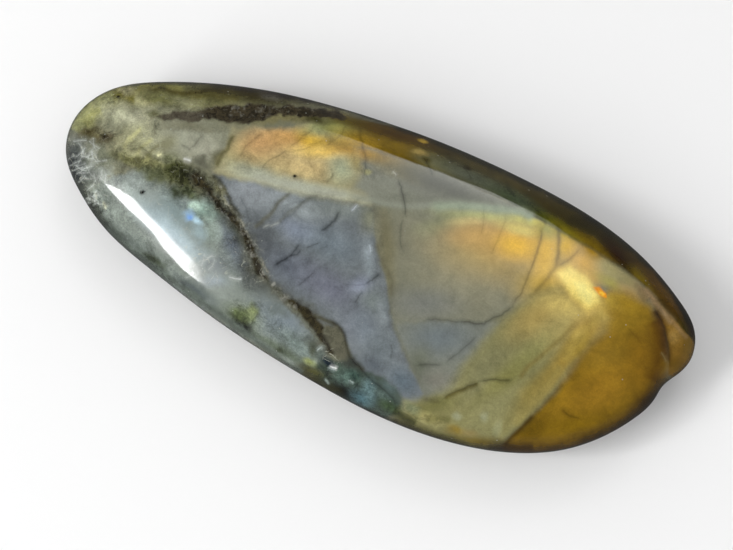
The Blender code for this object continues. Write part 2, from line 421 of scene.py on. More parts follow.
# Where the stone is shattered, thin pale fibres lie all ways: middle, radii, how many, and how long they are
SHATTERED = [
    ((82, 152), (12, 16), 18, 12), ((97, 172), (14, 14), 12, 10), ((92, 194), (7, 10), 16, 5),
    ((206, 266), (12, 14), 6, 10),
]
SPLINTER_COLOUR, SPLINTER_WIDTH, SPLINTER_BEND, SPLINTER_SEED = (172, 177, 171), 0.65, 0.6, 4
wild = np.random.default_rng(SPLINTER_SEED)
for middle, radii, count, length in SHATTERED:
    for start in np.array(middle) + np.array(radii) * wild.uniform(-1.0, 1.0, (count, 2)):
        turn, bend = wild.uniform(0.0, math.pi), wild.uniform(-SPLINTER_BEND, SPLINTER_BEND)
        half_way = start + 0.5 * length * np.array((math.cos(turn), math.sin(turn)))
        end = half_way + 0.5 * length * np.array((math.cos(turn + bend), math.sin(turn + bend)))
        FIBRES_AND_GLINTS.append((SPLINTER_COLOUR, SPLINTER_WIDTH, [start, half_way, end]))
# Steps of the drawn lines, rounds that smooth them, and how far and over what lengths they wander
LINE_STEP, SMOOTHING_ROUNDS = 0.9, 3
CRACK_WANDER, FIBRE_AND_GLINT_WANDER = 0.8, 0.5
LONG_SWAY, SHORT_SWAY = 7.0, 2.5
FIBRE_AND_GLINT_SEED = 50


def beside(line, offset):
    """The line moved sideways."""
    way = np.gradient(line, axis=0)
    way /= np.linalg.norm(way, axis=1)[:, None]
    return line + np.column_stack([-way[:, 1], way[:, 0]]) * offset


def drawn_line(points, wander, seed):
    """A line through the points in short steps, wandering a little from side to side."""
    points = np.array(points, float)
    run = run_along(points)
    wanted = np.linspace(0.0, run[-1], max(3, int(run[-1] / LINE_STEP)))
    line = points_at(points, run, wanted)
    for _ in range(SMOOTHING_ROUNDS):
        line[1:-1] = (line[:-2] + 2.0 * line[1:-1] + line[2:]) / 4.0
    sway = wander * soft_noise(wanted, np.zeros(len(wanted)), LONG_SWAY, seed)
    sway += 0.5 * wander * soft_noise(wanted, np.zeros(len(wanted)), SHORT_SWAY, seed + 40)
    return beside(line, sway[:, None])


crack_and_valley_lines = [drawn_line(points, CRACK_WANDER, seed) for seed, (_, _, points) in enumerate(CRACKS_AND_VALLEY_SHADE)]
fibre_and_glint_lines = [drawn_line(points, FIBRE_AND_GLINT_WANDER, FIBRE_AND_GLINT_SEED + i) for i, (_, _, points) in enumerate(FIBRES_AND_GLINTS)]


def inside_rim(plan, clear):
    """The plan points that lie inside the rim's inmost ring by more than this."""
    _, span, reach = reach_of(plan)
    return plan[(1.0 - reach) * span > RIM_INSET + clear]


def laid_rows():
    """Rows of plan points along the ridge, each hairline and each fibre, on the line and on both sides."""
    ridge_y = read_off(RIDGE, RIDGE_ROW_X)
    rows = [np.column_stack([RIDGE_ROW_X, ridge_y + gap]) for gap in (-RIDGE_ROW_GAP, 0.0, RIDGE_ROW_GAP)]
    cracks = zip(CRACKS_AND_VALLEY_SHADE, crack_and_valley_lines, strict=True)
    thin = [(width, line) for (width, _, _), line in cracks if width < HAIRLINE]
    thin += [(width, line) for (_, width, _), line in zip(FIBRES_AND_GLINTS, fibre_and_glint_lines, strict=True)]
    for width, line in thin:
        rows += [under_pixel(beside(line, offset)) for offset in (-width, 0.0, width)]
    return inside_rim(np.vstack(rows), ROW_CLEAR)


def crown_points():
    """Plan points for the crown: the rim's inmost ring, the laid rows, and an even grid between them."""
    laid = laid_rows()
    low, high = outline.min(axis=0), outline.max(axis=0)
    across = np.arange(low[0], high[0], CROWN_SPACING)
    up = np.arange(low[1], high[1], CROWN_SPACING * math.sqrt(0.75))
    x, y = np.meshgrid(across, up)
    x = x + 0.5 * CROWN_SPACING * (np.arange(len(up)) % 2)[:, None]
    grid = inside_rim(np.column_stack([x.ravel(), y.ravel()]), GRID_CLEAR)
    taken = {(i, j) for i, j in np.floor(laid / CELL).astype(int)}
    cells = np.floor(grid / CELL).astype(int)
    free = [all((i + a, j + b) not in taken for a in (-1, 0, 1) for b in (-1, 0, 1)) for i, j in cells]
    return np.vstack([rim[0][:, :2], laid, grid[np.array(free)]])


def crown_mesh():
    """Points and triangles of the crown inside the rim. Its first points are the rim's inmost ring."""
    plan = crown_points()
    fence = [(i, (i + 1) % RIM_POINTS) for i in range(RIM_POINTS)]
    points, _, faces, sources, _, _ = delaunay_2d_cdt([Vector(p) for p in plan], fence, [], 1, MERGE_WITHIN)
    points = np.array([(p.x, p.y) for p in points])
    order = [source[0] if source else -1 for source in sources]
    first = {source: i for i, source in enumerate(order) if source >= 0}
    ring = [first[i] for i in range(RIM_POINTS)]
    rest = sorted(set(range(len(points))) - set(ring))
    new_place = np.empty(len(points), int)
    new_place[ring + rest] = np.arange(len(points))
    return on_crown(points[ring + rest]), [[int(new_place[i]) for i in face] for face in faces]


def join_rings(starts, count):
    """Add the faces between each ring of points and the next. Each ring starts at one of these numbers."""
    for upper, lower in zip(starts, starts[1:], strict=False):
        for i in range(count):
            j = (i + 1) % count
            faces.append((upper + i, lower + i, lower + j, upper + j))


crown, faces = crown_mesh()
crown[:RIM_POINTS] = rim[0]
corners = np.vstack([crown] + rim[1:] + under)
rim_starts = [0] + [len(crown) + ring * RIM_POINTS for ring in range(RIM_RINGS)]
under_starts = [len(crown) + RIM_RINGS * RIM_POINTS + ring * UNDER_POINTS for ring in range(UNDER_RINGS)]
join_rings(rim_starts, RIM_POINTS)
for i in range(UNDER_POINTS):
    here, following = under_starts[0] + i, under_starts[0] + (i + 1) % UNDER_POINTS
    a, b, c = [rim_starts[-1] + (2 * i + k) % RIM_POINTS for k in range(3)]
    faces += [(a, here, b), (b, here, following), (b, following, c)]
join_rings(under_starts, UNDER_POINTS)
faces.append(tuple(under_starts[-1] + i for i in reversed(range(UNDER_POINTS))))

# The markings. Every colour is given as it looks, and is laid on with soft or ragged edges in the order
# listed, as the bands and inclusions lie in the stone. Points are pixels of the view.
# Among the marks below are painted shade, painted highlights and a painted reflection, each named where
# listed.
points = centred(corners)
straight = seen_at(points)
# The bands run on down through the stone. So on the sides that the view doesn't see, they are taken from as
# much further in as the point lies below the limb, where the stone turns out of sight.
MARKS_MIDDLE = np.array((380.0, 268.0))
PIXELS_PER_MM = 7.77
LIMB_SOFTNESS = 0.4
DEEPEST = 0.5
rings = np.stack([centred(ring) for ring in rim] + [np.repeat(centred(ring), 2, axis=0) for ring in under])
outward = np.stack([np.linalg.norm(seen_at(ring) - MARKS_MIDDLE, axis=1) for ring in rings])
nearness = np.exp((outward - outward.max(axis=0)) / LIMB_SOFTNESS)
limb = (nearness * rings[:, :, 2]).sum(axis=0) / nearness.sum(axis=0)
limb_here = np.interp(from_centre(corners[:, :2])[1], edge_angle, limb, period=2.0 * math.pi)
deep = np.clip(limb_here - points[:, 2], 0.0, None) * PIXELS_PER_MM
inward = MARKS_MIDDLE - straight
inward_share = np.minimum(deep / np.maximum(np.linalg.norm(inward, axis=1), 1.0), DEEPEST)
seen = straight + inward * inward_share[:, None]
BRIGHTNESS = 1.04
SHEEN = 0.010
DARKEST, LIGHTEST = 0.002, 0.95
GROUND_COLOUR, GROUND_GRAIN = (120, 120, 100), 0.22
# The left half is shattered and mottled, so its edges wander. The clear right half has smooth ones.
MOTTLED_TO, CLEAR_FROM, CLEAR_SHARE = 210.0, 330.0, 0.25
DRIFT, WANDER = 4.0, 1.5
DRIFT_SIZE, WANDER_SIZE, RAGGED_SIZE, FINE_SIZE = 44.0, 12.0, 16.0, 6.0


def stone_colour(seen_colour):
    """The stone's own colour for a colour as it is seen, 0 to 255, less the sheen of the polish."""
    share = np.array(seen_colour, float) / 255.0
    linear = np.where(share <= 0.04045, share / 12.92, ((share + 0.055) / 1.055) ** 2.4)
    return np.clip(linear / BRIGHTNESS - SHEEN, DARKEST, LIGHTEST)


def lumps(size, octaves, seed, keep=0.62):
    """Random lumps of many sizes over the stone, from size pixels down, mostly between -1 and 1."""
    total = np.zeros(len(seen))
    for octave in range(octaves):
        total += keep**octave * soft_noise(seen[:, 0], seen[:, 1], size / 2.0**octave, seed + 10 * octave)
    return total


def moved(amount, size, octaves, seed):
    """Where the points are seen, each moved at random by about this amount, and by less in the clear half."""
    shift = np.column_stack([lumps(size, octaves, seed), lumps(size, octaves, seed + 1)])
    return seen + shift * amount * mottling[:, None]


mottling = CLEAR_SHARE + (1.0 - CLEAR_SHARE) * smooth_step(CLEAR_FROM, MOTTLED_TO, seen[:, 0])
drifted = moved(DRIFT, DRIFT_SIZE, 4, 1)
place = moved(WANDER, WANDER_SIZE, 3, 3)
ragged_edge = lumps(RAGGED_SIZE, 4, 5, 0.75)
fine_lumps = lumps(FINE_SIZE, 2, 6)
paint = np.ones((len(points), 4))
paint[:, :3] = stone_colour(GROUND_COLOUR)
paint[:, 3] = GROUND_GRAIN


def line_distance(where, points_along, share_too=False):
    """Distance from each place to a line of points, and how far along the line the nearest spot lies."""
    points_along = np.array(points_along, float)
    nearest = np.full(len(where), 1e9)
    share = np.zeros(len(where))
    for i, (start, end) in enumerate(zip(points_along, points_along[1:], strict=False)):
        way = end - start
        part = np.clip((where - start) @ way / max(way @ way, 1e-9), 0.0, 1.0)
        apart = np.linalg.norm(where - start - part[:, None] * way, axis=1)
        closer = apart < nearest
        nearest[closer] = apart[closer]
        share[closer] = (i + part[closer]) / (len(points_along) - 1)
    return (nearest, share) if share_too else nearest


def area_cover(where, outline_points, softness, ragged=0.0):
    """1 inside an area and 0 outside, with an edge that is soft over softness pixels and ragged by so many.

    Where the softness changes along the edge, it is a list of a pixel across and the softness there.
    """
    ring = np.array(list(outline_points) + [outline_points[0]], float)
    if isinstance(softness, list):
        softness = read_off(softness, where[:, 0])
    softness = np.broadcast_to(softness, len(where))
    reach = softness.max() + 2.0 * ragged + 2.0
    near = ((where > ring.min(axis=0) - reach) & (where < ring.max(axis=0) + reach)).all(axis=1)
    spots = where[near]
    inside = np.zeros(len(spots), bool)
    for start, end in zip(ring, ring[1:], strict=False):
        crosses = (start[1] > spots[:, 1]) != (end[1] > spots[:, 1])
        slope = (end[0] - start[0]) / (end[1] - start[1] if end[1] != start[1] else 1e-9)
        inside ^= crosses & (spots[:, 0] < start[0] + slope * (spots[:, 1] - start[1]))
    depth = line_distance(spots, ring) * np.where(inside, 1.0, -1.0) + ragged * ragged_edge[near]
    cover = np.zeros(len(where))
    cover[near] = smooth_step(-0.5 * softness[near], 0.5 * softness[near], depth)
    return cover


def spot_cover(where, middle, radii, tilt, softness):
    """1 inside an oval spot and 0 outside. The tilt is in degrees, clockwise as seen."""
    turn = math.radians(tilt)
    away = where - np.array(middle, float)
    along = away[:, 0] * math.cos(turn) + away[:, 1] * math.sin(turn)
    across = -away[:, 0] * math.sin(turn) + away[:, 1] * math.cos(turn)
    out = np.hypot(along / radii[0], across / radii[1])
    return 1.0 - smooth_step(1.0 - softness, 1.0 + softness, out)


def lay(colour, cover, picked=slice(None)):
    """Lay a colour over the picked points of the stone, as strongly as cover says."""
    paint[picked, :3] += (stone_colour(colour) - paint[picked, :3]) * cover[:, None]


# The stone's zones, each between cracks, twin planes or edges of the polish: colour, softness of the edge,
# how ragged it is, its outline, and the soft patches within it as colour, middle, radii and tilt
ZONES = [
    # Left end: mottled crystals, yellow-green along the rim, olive beyond
    ((124, 124, 102), 8, 4, [
        (50, 70), (240, 70), (352, 104), (350, 121), (262, 127), (236, 126), (222, 154), (209, 172),
        (186, 164), (150, 158), (118, 164), (104, 186), (96, 214), (50, 214),
    ], [
        ((108, 106, 66), (196, 94), (76, 14), 3),
        ((142, 142, 108), (180, 102), (18, 4), 4),
        ((104, 104, 68), (158, 101), (14, 7), 10),
        ((162, 160, 118), (138, 102), (8, 5), 30),
        ((56, 50, 32), (256, 95), (52, 8), 7),
        ((132, 126, 88), (288, 118), (42, 5), -2),
        ((142, 141, 94), (98, 105), (18, 9), -30),
        ((169, 170, 142), (122, 112), (32, 9), 8),
        ((179, 179, 152), (138, 117), (16, 5), 14),
        ((90, 86, 62), (96, 134), (22, 6), 12),
        ((134, 132, 108), (114, 148), (14, 9), 0),
        ((174, 174, 140), (134, 149), (16, 6), 10),
        ((160, 159, 122), (141, 140), (24, 16), -30),
        ((146, 145, 112), (131, 146), (7, 4), -40),
        ((160, 162, 142), (190, 136), (36, 18), 4),
        ((170, 170, 150), (204, 146), (14, 10), -10),
        ((122, 121, 100), (190, 124), (26, 4), 0),
        ((130, 129, 102), (167, 142), (9, 8), 0),
        ((164, 164, 130), (150, 153), (9, 5), 0),
        ((127, 130, 101), (168, 157), (9, 5), 10),
        ((106, 104, 80), (216, 157), (6, 7), 0),
        ((82, 87, 88), (76, 164), (13, 34), -8),
        ((138, 144, 136), (98, 172), (14, 20), -30),
        ((112, 118, 106), (98, 196), (8, 14), -34),
        # Darker than the stone here, to hold back the key light's broad reflection.
        ((38, 42, 44), (80, 171), (9, 18), -10),
    ]),
    # Milky and grey-blue below the mossy band, as far as the seam
    ((126, 134, 126), 12, 4, [
        (92, 196), (112, 176), (136, 168), (164, 180), (188, 190), (210, 186), (232, 212), (244, 246),
        (262, 286), (300, 312), (328, 350), (334, 378), (300, 370), (230, 332), (150, 276), (100, 226),
    ], [
        ((150, 159, 153), (138, 187), (26, 10), 28),
        ((134, 149, 148), (176, 208), (20, 12), 42),
        # Pale silver beside the key highlight's streak: milky stone with a painted glow of that highlight.
        ((170, 187, 192), (172, 230), (36, 10), 42),
        ((124, 131, 131), (214, 268), (13, 9), 30),
        ((134, 144, 146), (216, 284), (12, 5), 10),
        ((102, 110, 104), (138, 250), (46, 8), 40),
        ((118, 126, 120), (196, 297), (48, 6), 34),
        ((102, 110, 118), (233, 248), (10, 26), -24),
        ((142, 155, 145), (213, 228), (7, 10), 0),
        ((80, 84, 82), (254, 282), (10, 18), -34),
        ((116, 126, 133), (282, 322), (24, 13), 32),
        ((106, 117, 112), (296, 346), (24, 9), 38),
        ((96, 104, 84), (244, 318), (16, 11), 16),
        ((92, 101, 86), (282, 352), (40, 4), 33),
    ]),
    # Slate and violet between the seam and the olive line
    ((114, 120, 122), [(340, 5), (372, 9), (426, 7)], 1.6, [
        (212, 172), (245, 178), (300, 190), (347, 199), (380, 205), (374, 228), (378, 252), (386, 276),
        (391, 296), (389, 314), (396, 332), (404, 352), (414, 374), (424, 394), (416, 404), (392, 396),
        (356, 374), (344, 342), (318, 322), (296, 305), (270, 282), (252, 245), (234, 212),
    ], [
        ((146, 152, 155), (254, 194), (24, 13), 12),
        ((149, 157, 158), (300, 208), (30, 10), 10),
        ((127, 134, 130), (342, 210), (26, 8), 10),
        ((92, 96, 98), (265, 246), (12, 24), -20),
        ((105, 111, 119), (290, 270), (22, 16), 30),
        ((136, 145, 158), (300, 232), (18, 9), 20),
        ((118, 128, 134), (332, 244), (26, 14), 20),
        ((116, 119, 130), (330, 288), (30, 14), 30),
        ((134, 136, 116), (372, 218), (9, 14), 10),
        ((146, 156, 160), (369, 258), (5, 17), -6),
        ((142, 149, 163), (361, 286), (9, 8), -30),
        ((118, 126, 124), (372, 302), (13, 10), 0),
        ((132, 140, 142), (382, 316), (4, 13), -8),
        ((118, 124, 130), (352, 322), (14, 18), 0),
        ((116, 124, 130), (366, 330), (10, 16), -20),
        ((112, 120, 123), (380, 350), (14, 16), 30),
        ((96, 107, 114), (402, 382), (15, 11), 34),
        ((94, 101, 106), (373, 366), (12, 9), 20),
    ]),
    # The shattered green foot of the seam
    ((72, 82, 74), 5, 1.5, [
        (314, 366), (326, 356), (340, 360), (350, 360), (364, 370), (384, 376), (396, 388), (404, 398),
        (402, 414), (380, 418), (350, 406), (312, 384),
    ], [
        ((54, 62, 54), (326, 374), (12, 7), 30),
        ((60, 70, 60), (340, 370), (12, 5), 20),
        ((84, 102, 94), (347, 378), (10, 8), 22),
        ((24, 30, 26), (342, 392), (13, 6), 28),
        ((72, 96, 102), (362, 399), (10, 7), 26),
        ((100, 124, 126), (370, 391), (6, 10), -14),
        ((88, 102, 100), (388, 388), (8, 5), 34),
        ((94, 110, 104), (384, 397), (11, 4), 30),
        ((62, 76, 54), (389, 407), (11, 5), 28),
        ((84, 94, 86), (400, 400), (6, 4), 30),
    ]),
    # Veiled grey between the ridge and the arc
    ((120, 122, 108), 4, 0, [
        (330, 146), (372, 148), (395, 157), (437, 170), (484, 192), (529, 213), (541, 222), (520, 218),
        (480, 211), (440, 209), (405, 210), (372, 204), (340, 198), (326, 190), (332, 168),
    ], [
        ((132, 134, 120), (364, 186), (26, 14), 10),
        ((124, 117, 82), (400, 168), (26, 8), 18),
        ((146, 118, 44), (372, 155), (26, 6), 12),
        ((82, 84, 72), (440, 184), (44, 9), 22),
        ((160, 118, 20), (350, 152), (14, 6), 10),
    ]),
    # Orange and gold flash under the far rim, fading into the bevel
    ((158, 152, 116), [(240, 8), (320, 10), (340, 12), (362, 14), (376, 6)], 1.2, [
        (234, 128), (252, 126), (272, 129), (292, 129), (304, 127), (312, 121), (330, 117), (352, 119),
        (358, 136), (356, 150), (362, 172), (352, 188), (376, 206), (347, 202), (300, 194), (245, 180),
        (213, 172), (224, 152),
    ], [
        ((136, 133, 106), (244, 130), (12, 8), 0),
        ((170, 163, 120), (238, 154), (18, 15), -50),
        ((164, 167, 143), (252, 171), (22, 7), 14),
        ((208, 184, 130), (282, 154), (30, 11), 0),
        ((214, 172, 116), (264, 140), (24, 12), -14),
        ((200, 158, 96), (290, 137), (17, 9), 0),
        ((224, 180, 64), (311, 139), (12, 8), 30),
        ((214, 178, 74), (322, 142), (14, 6), 10),
        ((216, 192, 136), (308, 167), (28, 11), 4),
        ((240, 204, 112), (326, 151), (26, 6), 3),
        ((186, 142, 40), (350, 152), (16, 7), 8),
        ((174, 180, 148), (342, 169), (12, 12), 0),
        ((164, 148, 92), (360, 162), (10, 8), 0),
        ((156, 160, 108), (326, 127), (24, 7), 0),
        # These two pale bands are the veil light's lower edge, a painted reflection.
        ((184, 188, 168), (302, 188), (56, 6), 12),
        ((156, 163, 152), (290, 196), (52, 4), 13),
    ]),
    # Grey centre, with the green and gold flash under the arc
    ((124, 125, 108), 4, 0, [
        (372, 204), (405, 208), (440, 206), (480, 207), (520, 213), (541, 221), (556, 228), (600, 254),
        (634, 274), (652, 296), (640, 306), (600, 298), (570, 290), (536, 300), (500, 316), (480, 326),
        (424, 322), (396, 326), (390, 306), (386, 276), (378, 252), (374, 228),
    ], [
        ((128, 127, 108), (404, 234), (26, 24), 0),
        ((122, 118, 92), (388, 250), (7, 40), -6),
        ((144, 140, 116), (464, 278), (48, 26), 16),
        ((124, 126, 118), (424, 304), (30, 14), 0),
        ((184, 162, 108), (500, 258), (52, 20), 14),
        ((204, 174, 90), (552, 282), (28, 16), -20),
        ((138, 140, 110), (444, 224), (22, 8), -14),
        ((182, 184, 124), (496, 217), (42, 6), 6),
        ((208, 196, 138), (468, 222), (16, 4), 2),
        ((220, 212, 114), (526, 218), (18, 6), 20),
        ((200, 168, 114), (482, 236), (30, 10), 6),
        ((214, 176, 104), (506, 242), (34, 15), 10),
        ((240, 192, 76), (517, 246), (17, 11), 12),
        ((226, 208, 122), (522, 230), (20, 5), 14),
        ((220, 178, 72), (546, 250), (12, 26), 8),
        ((158, 154, 82), (548, 228), (10, 9), 8),
        ((160, 144, 36), (564, 233), (12, 5), 30),
        ((216, 174, 36), (568, 247), (9, 10), -30),
        ((212, 170, 82), (584, 262), (16, 13), 30),
        ((176, 138, 44), (592, 252), (9, 5), 34),
        ((202, 164, 82), (594, 276), (10, 8), 30),
        ((172, 162, 112), (611, 271), (14, 9), 42),
        ((170, 160, 86), (610, 283), (14, 5), 30),
        ((160, 150, 104), (628, 281), (12, 6), 42),
        ((182, 156, 102), (630, 293), (12, 5), 36),
        ((146, 124, 86), (644, 293), (12, 5), 44),
    ]),
    # Blue-grey below the long crack
    ((122, 125, 114), 6, 1, [
        (394, 324), (424, 321), (474, 323), (500, 322), (488, 346), (474, 368), (462, 394), (426, 396),
        (410, 362),
    ], [
        ((114, 122, 123), (440, 338), (28, 15), 0),
        ((106, 110, 96), (418, 366), (10, 16), 20),
        ((122, 121, 110), (438, 380), (13, 9), 0),
    ]),
    # Pale olive area below the cracks, in slanting bands
    ((134, 130, 88), 18, 1, [
        (406, 404), (428, 400), (450, 388), (464, 366), (480, 346), (498, 324), (518, 306), (542, 290),
        (566, 288), (604, 302), (622, 316), (606, 330), (578, 358), (557, 391), (530, 420), (503, 446),
        (460, 452), (424, 438), (398, 420),
    ], [
        ((130, 128, 92), (484, 368), (16, 30), 36),
        ((166, 146, 86), (540, 314), (30, 14), -34),
        ((216, 192, 112), (576, 310), (28, 14), 24),
        ((174, 158, 98), (558, 332), (24, 12), -42),
        ((172, 142, 72), (588, 330), (18, 12), -40),
        ((164, 138, 54), (576, 348), (16, 9), -50),
        ((146, 144, 92), (522, 362), (34, 9), -42),
        ((126, 123, 74), (500, 384), (34, 7), -42),
        ((164, 138, 66), (556, 370), (34, 8), -54),
        ((138, 124, 68), (526, 398), (30, 8), -50),
        ((138, 135, 94), (490, 412), (26, 16), -30),
        ((114, 112, 70), (434, 404), (20, 9), -14),
        ((114, 98, 44), (484, 442), (26, 5), 8),
        ((150, 143, 94), (430, 419), (10, 4), 24),
        ((212, 182, 92), (606, 306), (14, 8), 30),
    ]),
    # Gold-brown end
    ((140, 110, 37), [(504, 3), (550, 6), (572, 14), (604, 18)], 0.4, [
        (602, 298), (610, 291), (624, 292), (640, 300), (652, 306), (664, 330), (670, 366), (662, 386),
        (640, 414), (600, 442), (560, 460), (504, 462), (503, 445), (523, 426), (541, 408), (557, 391),
        (568, 374), (578, 360), (592, 345), (606, 331), (612, 318), (606, 306),
    ], [
        ((206, 176, 76), (612, 300), (14, 8), 20),
        ((156, 126, 42), (628, 306), (18, 8), 30),
        ((152, 124, 50), (612, 322), (12, 10), 0),
        ((144, 116, 40), (632, 322), (18, 12), 0),
        ((147, 117, 44), (602, 354), (24, 16), 0),
        ((158, 121, 42), (604, 388), (32, 16), -30),
        ((140, 106, 36), (644, 362), (14, 30), 0),
        ((132, 104, 32), (572, 428), (38, 10), -12),
        ((104, 82, 24), (532, 430), (20, 10), -30),
    ]),
    # The bevel along the far side: gold-brown at its left, grey-green in the middle, dark brown by the tip
    ((66, 58, 30), [(332, 22), (350, 14), (372, 2), (532, 2), (560, 8), (624, 7), (650, 4)], 0, [
        (330, 112), (352, 118), (400, 128), (480, 152), (540, 176), (600, 210), (660, 270), (704, 338),
        (694, 344), (660, 306), (650, 292), (642, 283), (630, 274), (618, 265), (606, 258), (594, 250),
        (582, 243), (570, 236), (558, 229), (546, 223), (529, 213), (508, 201), (484, 192), (460, 180),
        (437, 170), (395, 157), (372, 148), (345, 146), (332, 140), (326, 128),
    ], [
        ((184, 148, 46), (342, 142), (18, 7), 10),
        ((160, 162, 98), (336, 129), (28, 8), 4),
        ((168, 136, 46), (370, 141), (28, 8), 14),
        ((98, 76, 2), (374, 128), (26, 6), 14),
        ((98, 84, 22), (348, 119), (24, 5), 12),
        ((130, 106, 34), (404, 149), (26, 8), 20),
        ((82, 62, 16), (408, 137), (40, 5), 17),
        ((126, 122, 78), (436, 163), (18, 6), 20),
        ((98, 102, 84), (470, 176), (40, 7), 24),
        ((84, 77, 50), (500, 172), (60, 7), 24),
        ((74, 84, 62), (514, 199), (28, 6), 28),
        ((90, 96, 14), (553, 225), (20, 6), 30),
        ((128, 116, 34), (571, 234), (20, 6), 36),
        ((58, 53, 6), (590, 232), (22, 6), 38),
        ((128, 104, 28), (596, 248), (20, 6), 38),
        ((54, 48, 6), (602, 228), (34, 7), 40),
        ((56, 40, 2), (618, 254), (18, 7), 44),
        ((68, 54, 4), (638, 267), (16, 6), 48),
        ((114, 96, 30), (642, 280), (14, 5), 44),
        ((92, 68, 18), (657, 284), (18, 6), 52),
        ((92, 68, 24), (672, 306), (16, 6), 50),
    ]),
    # The facet by the tip
    ((132, 101, 44), 2, 0.2, [
        (646, 289), (655, 299), (665, 310), (675, 321), (690, 337), (702, 350), (698, 364), (682, 382),
        (668, 374), (669, 358), (668, 342), (664, 326), (656, 308),
    ], [
        ((154, 124, 66), (674, 336), (6, 6), 40),
        ((114, 88, 34), (677, 366), (9, 7), 0),
        ((124, 98, 42), (690, 346), (6, 12), 0),
    ]),
]
# Soft bands laid over the zones: colour, half width, strength and the points that each runs through
BANDS = [
    # Yellow-green round the left rim, and the dark brown streaks beyond it
    ((142, 144, 96), 8.0, 0.75, [(72, 130), (77, 118), (88, 104), (106, 94), (128, 89)]),
    ((130, 126, 70), 4.0, 0.7, [(104, 92), (124, 88), (150, 86), (186, 88)]),
    ((158, 158, 100), 5.0, 0.7, [(80, 124), (90, 115), (102, 110)]),
    ((112, 106, 50), 5.0, 0.8, [(112, 96), (124, 94), (134, 96)]),
    ((70, 62, 36), 2.4, 0.7, [(146, 90), (180, 92), (206, 91), (236, 94)]),
    ((84, 78, 44), 2.4, 0.5, [(186, 97), (214, 97), (244, 101)]),
    # Painted shade: a darker rim below the fibres at the left, and along the near side
    ((32, 36, 26), 7.0, 0.8, [(86, 192), (96, 208), (104, 218), (114, 229), (126, 240)]),
    ((50, 54, 34), 5.0, 0.8, [(392, 410), (404, 418), (416, 424)]),
    ((92, 90, 52), 4.0, 0.6, [(424, 420), (440, 419), (452, 421)]),
    ((52, 40, 8), 5.0, 0.7, [(486, 448), (505, 447), (523, 447), (535, 447)]),
    # Bright ridges of the crystals
    ((186, 184, 134), 2.2, 0.8, [(128, 138), (133, 131), (141, 126)]),
    ((178, 176, 128), 2.0, 0.7, [(122, 147), (125, 139), (130, 133)]),
    ((176, 174, 124), 2.0, 0.6, [(134, 152), (142, 144), (152, 136)]),
    ((92, 88, 58), 2.0, 0.6, [(144, 156), (150, 147), (160, 142)]),
    # Painted reflection: the pale edge of the veil light along the arc, ending in teal-green under the ridge
    ((172, 174, 156), 4.0, 0.7, [(246, 176), (287, 185), (325, 193), (350, 197)]),
    ((146, 150, 134), 4.0, 0.7, [(346, 196), (377, 203), (405, 207), (435, 204)]),
    ((150, 162, 138), 5.0, 0.9, [(425, 206), (460, 205), (491, 208), (520, 213), (536, 220)]),
    ((108, 112, 104), 3.0, 0.5, [(300, 195), (330, 201), (352, 206), (376, 212)]),
    # Olive streaks in the slate, beside the seam, and the dark line left of the orange flash
    ((98, 98, 86), 2.4, 0.8, [(292, 192), (278, 203), (271, 214), (262, 225), (252, 231)]),
    ((108, 110, 100), 1.9, 0.55, [(312, 196), (298, 206), (286, 216), (275, 226)]),
    ((62, 60, 44), 2.4, 0.75, [(207, 172), (215, 180), (222, 190), (229, 200), (236, 210), (243, 221)]),
    ((84, 86, 80), 9.0, 0.7, [(236, 230), (245, 250), (250, 268), (262, 284), (278, 294), (292, 304)]),
    ((90, 87, 58), 2.8, 0.8, [(235, 130), (231, 138), (227, 146), (220, 156), (213, 168)]),
    ((70, 67, 46), 2.6, 0.85, [(310, 315), (320, 319), (332, 323), (341, 330), (346, 341)]),
    ((70, 68, 48), 2.2, 0.85, [(344, 336), (348, 350), (354, 362), (366, 372)]),
    ((104, 101, 80), 4.0, 0.5, [(376, 240), (381, 256), (386, 270), (392, 284), (390, 300)]),
    # Light and dark bands across the pale olive area, and the dark line where the gold-brown end begins
    ((176, 154, 80), 6.0, 0.6, [(604, 312), (588, 328), (572, 346), (562, 362)]),
    ((152, 140, 82), 5.0, 0.6, [(562, 362), (548, 386), (530, 408), (514, 428)]),
    ((128, 112, 62), 2.6, 0.6, [(577, 321), (560, 339), (543, 353), (527, 367), (519, 379)]),
    ((94, 76, 24), 2.6, 0.5, [(564, 382), (555, 393), (541, 408), (523, 426)]),
    ((62, 50, 16), 3.0, 0.8, [(536, 413), (523, 426), (511, 437), (503, 446)]),
    ((88, 80, 42), 2.4, 0.7, [(443, 399), (456, 392), (468, 387), (480, 382)]),
    # Painted shade in the valley between the gold end and the facet; the pale strip along the facet's upper
    # edge
    ((98, 69, 16), 8.0, 0.75, [(652, 318), (657, 330), (659, 345), (658, 368), (650, 384)]),
    ((74, 48, 0), 4.6, 0.75, [(653, 308), (658, 318), (662, 328), (665, 344), (667, 364)]),
    ((160, 136, 100), 3.2, 0.95, [(643, 287), (650, 296), (657, 305), (665, 314), (674, 324)]),
    ((148, 120, 76), 2.2, 0.9, [(666, 314), (674, 323), (681, 331), (689, 339)]),
]

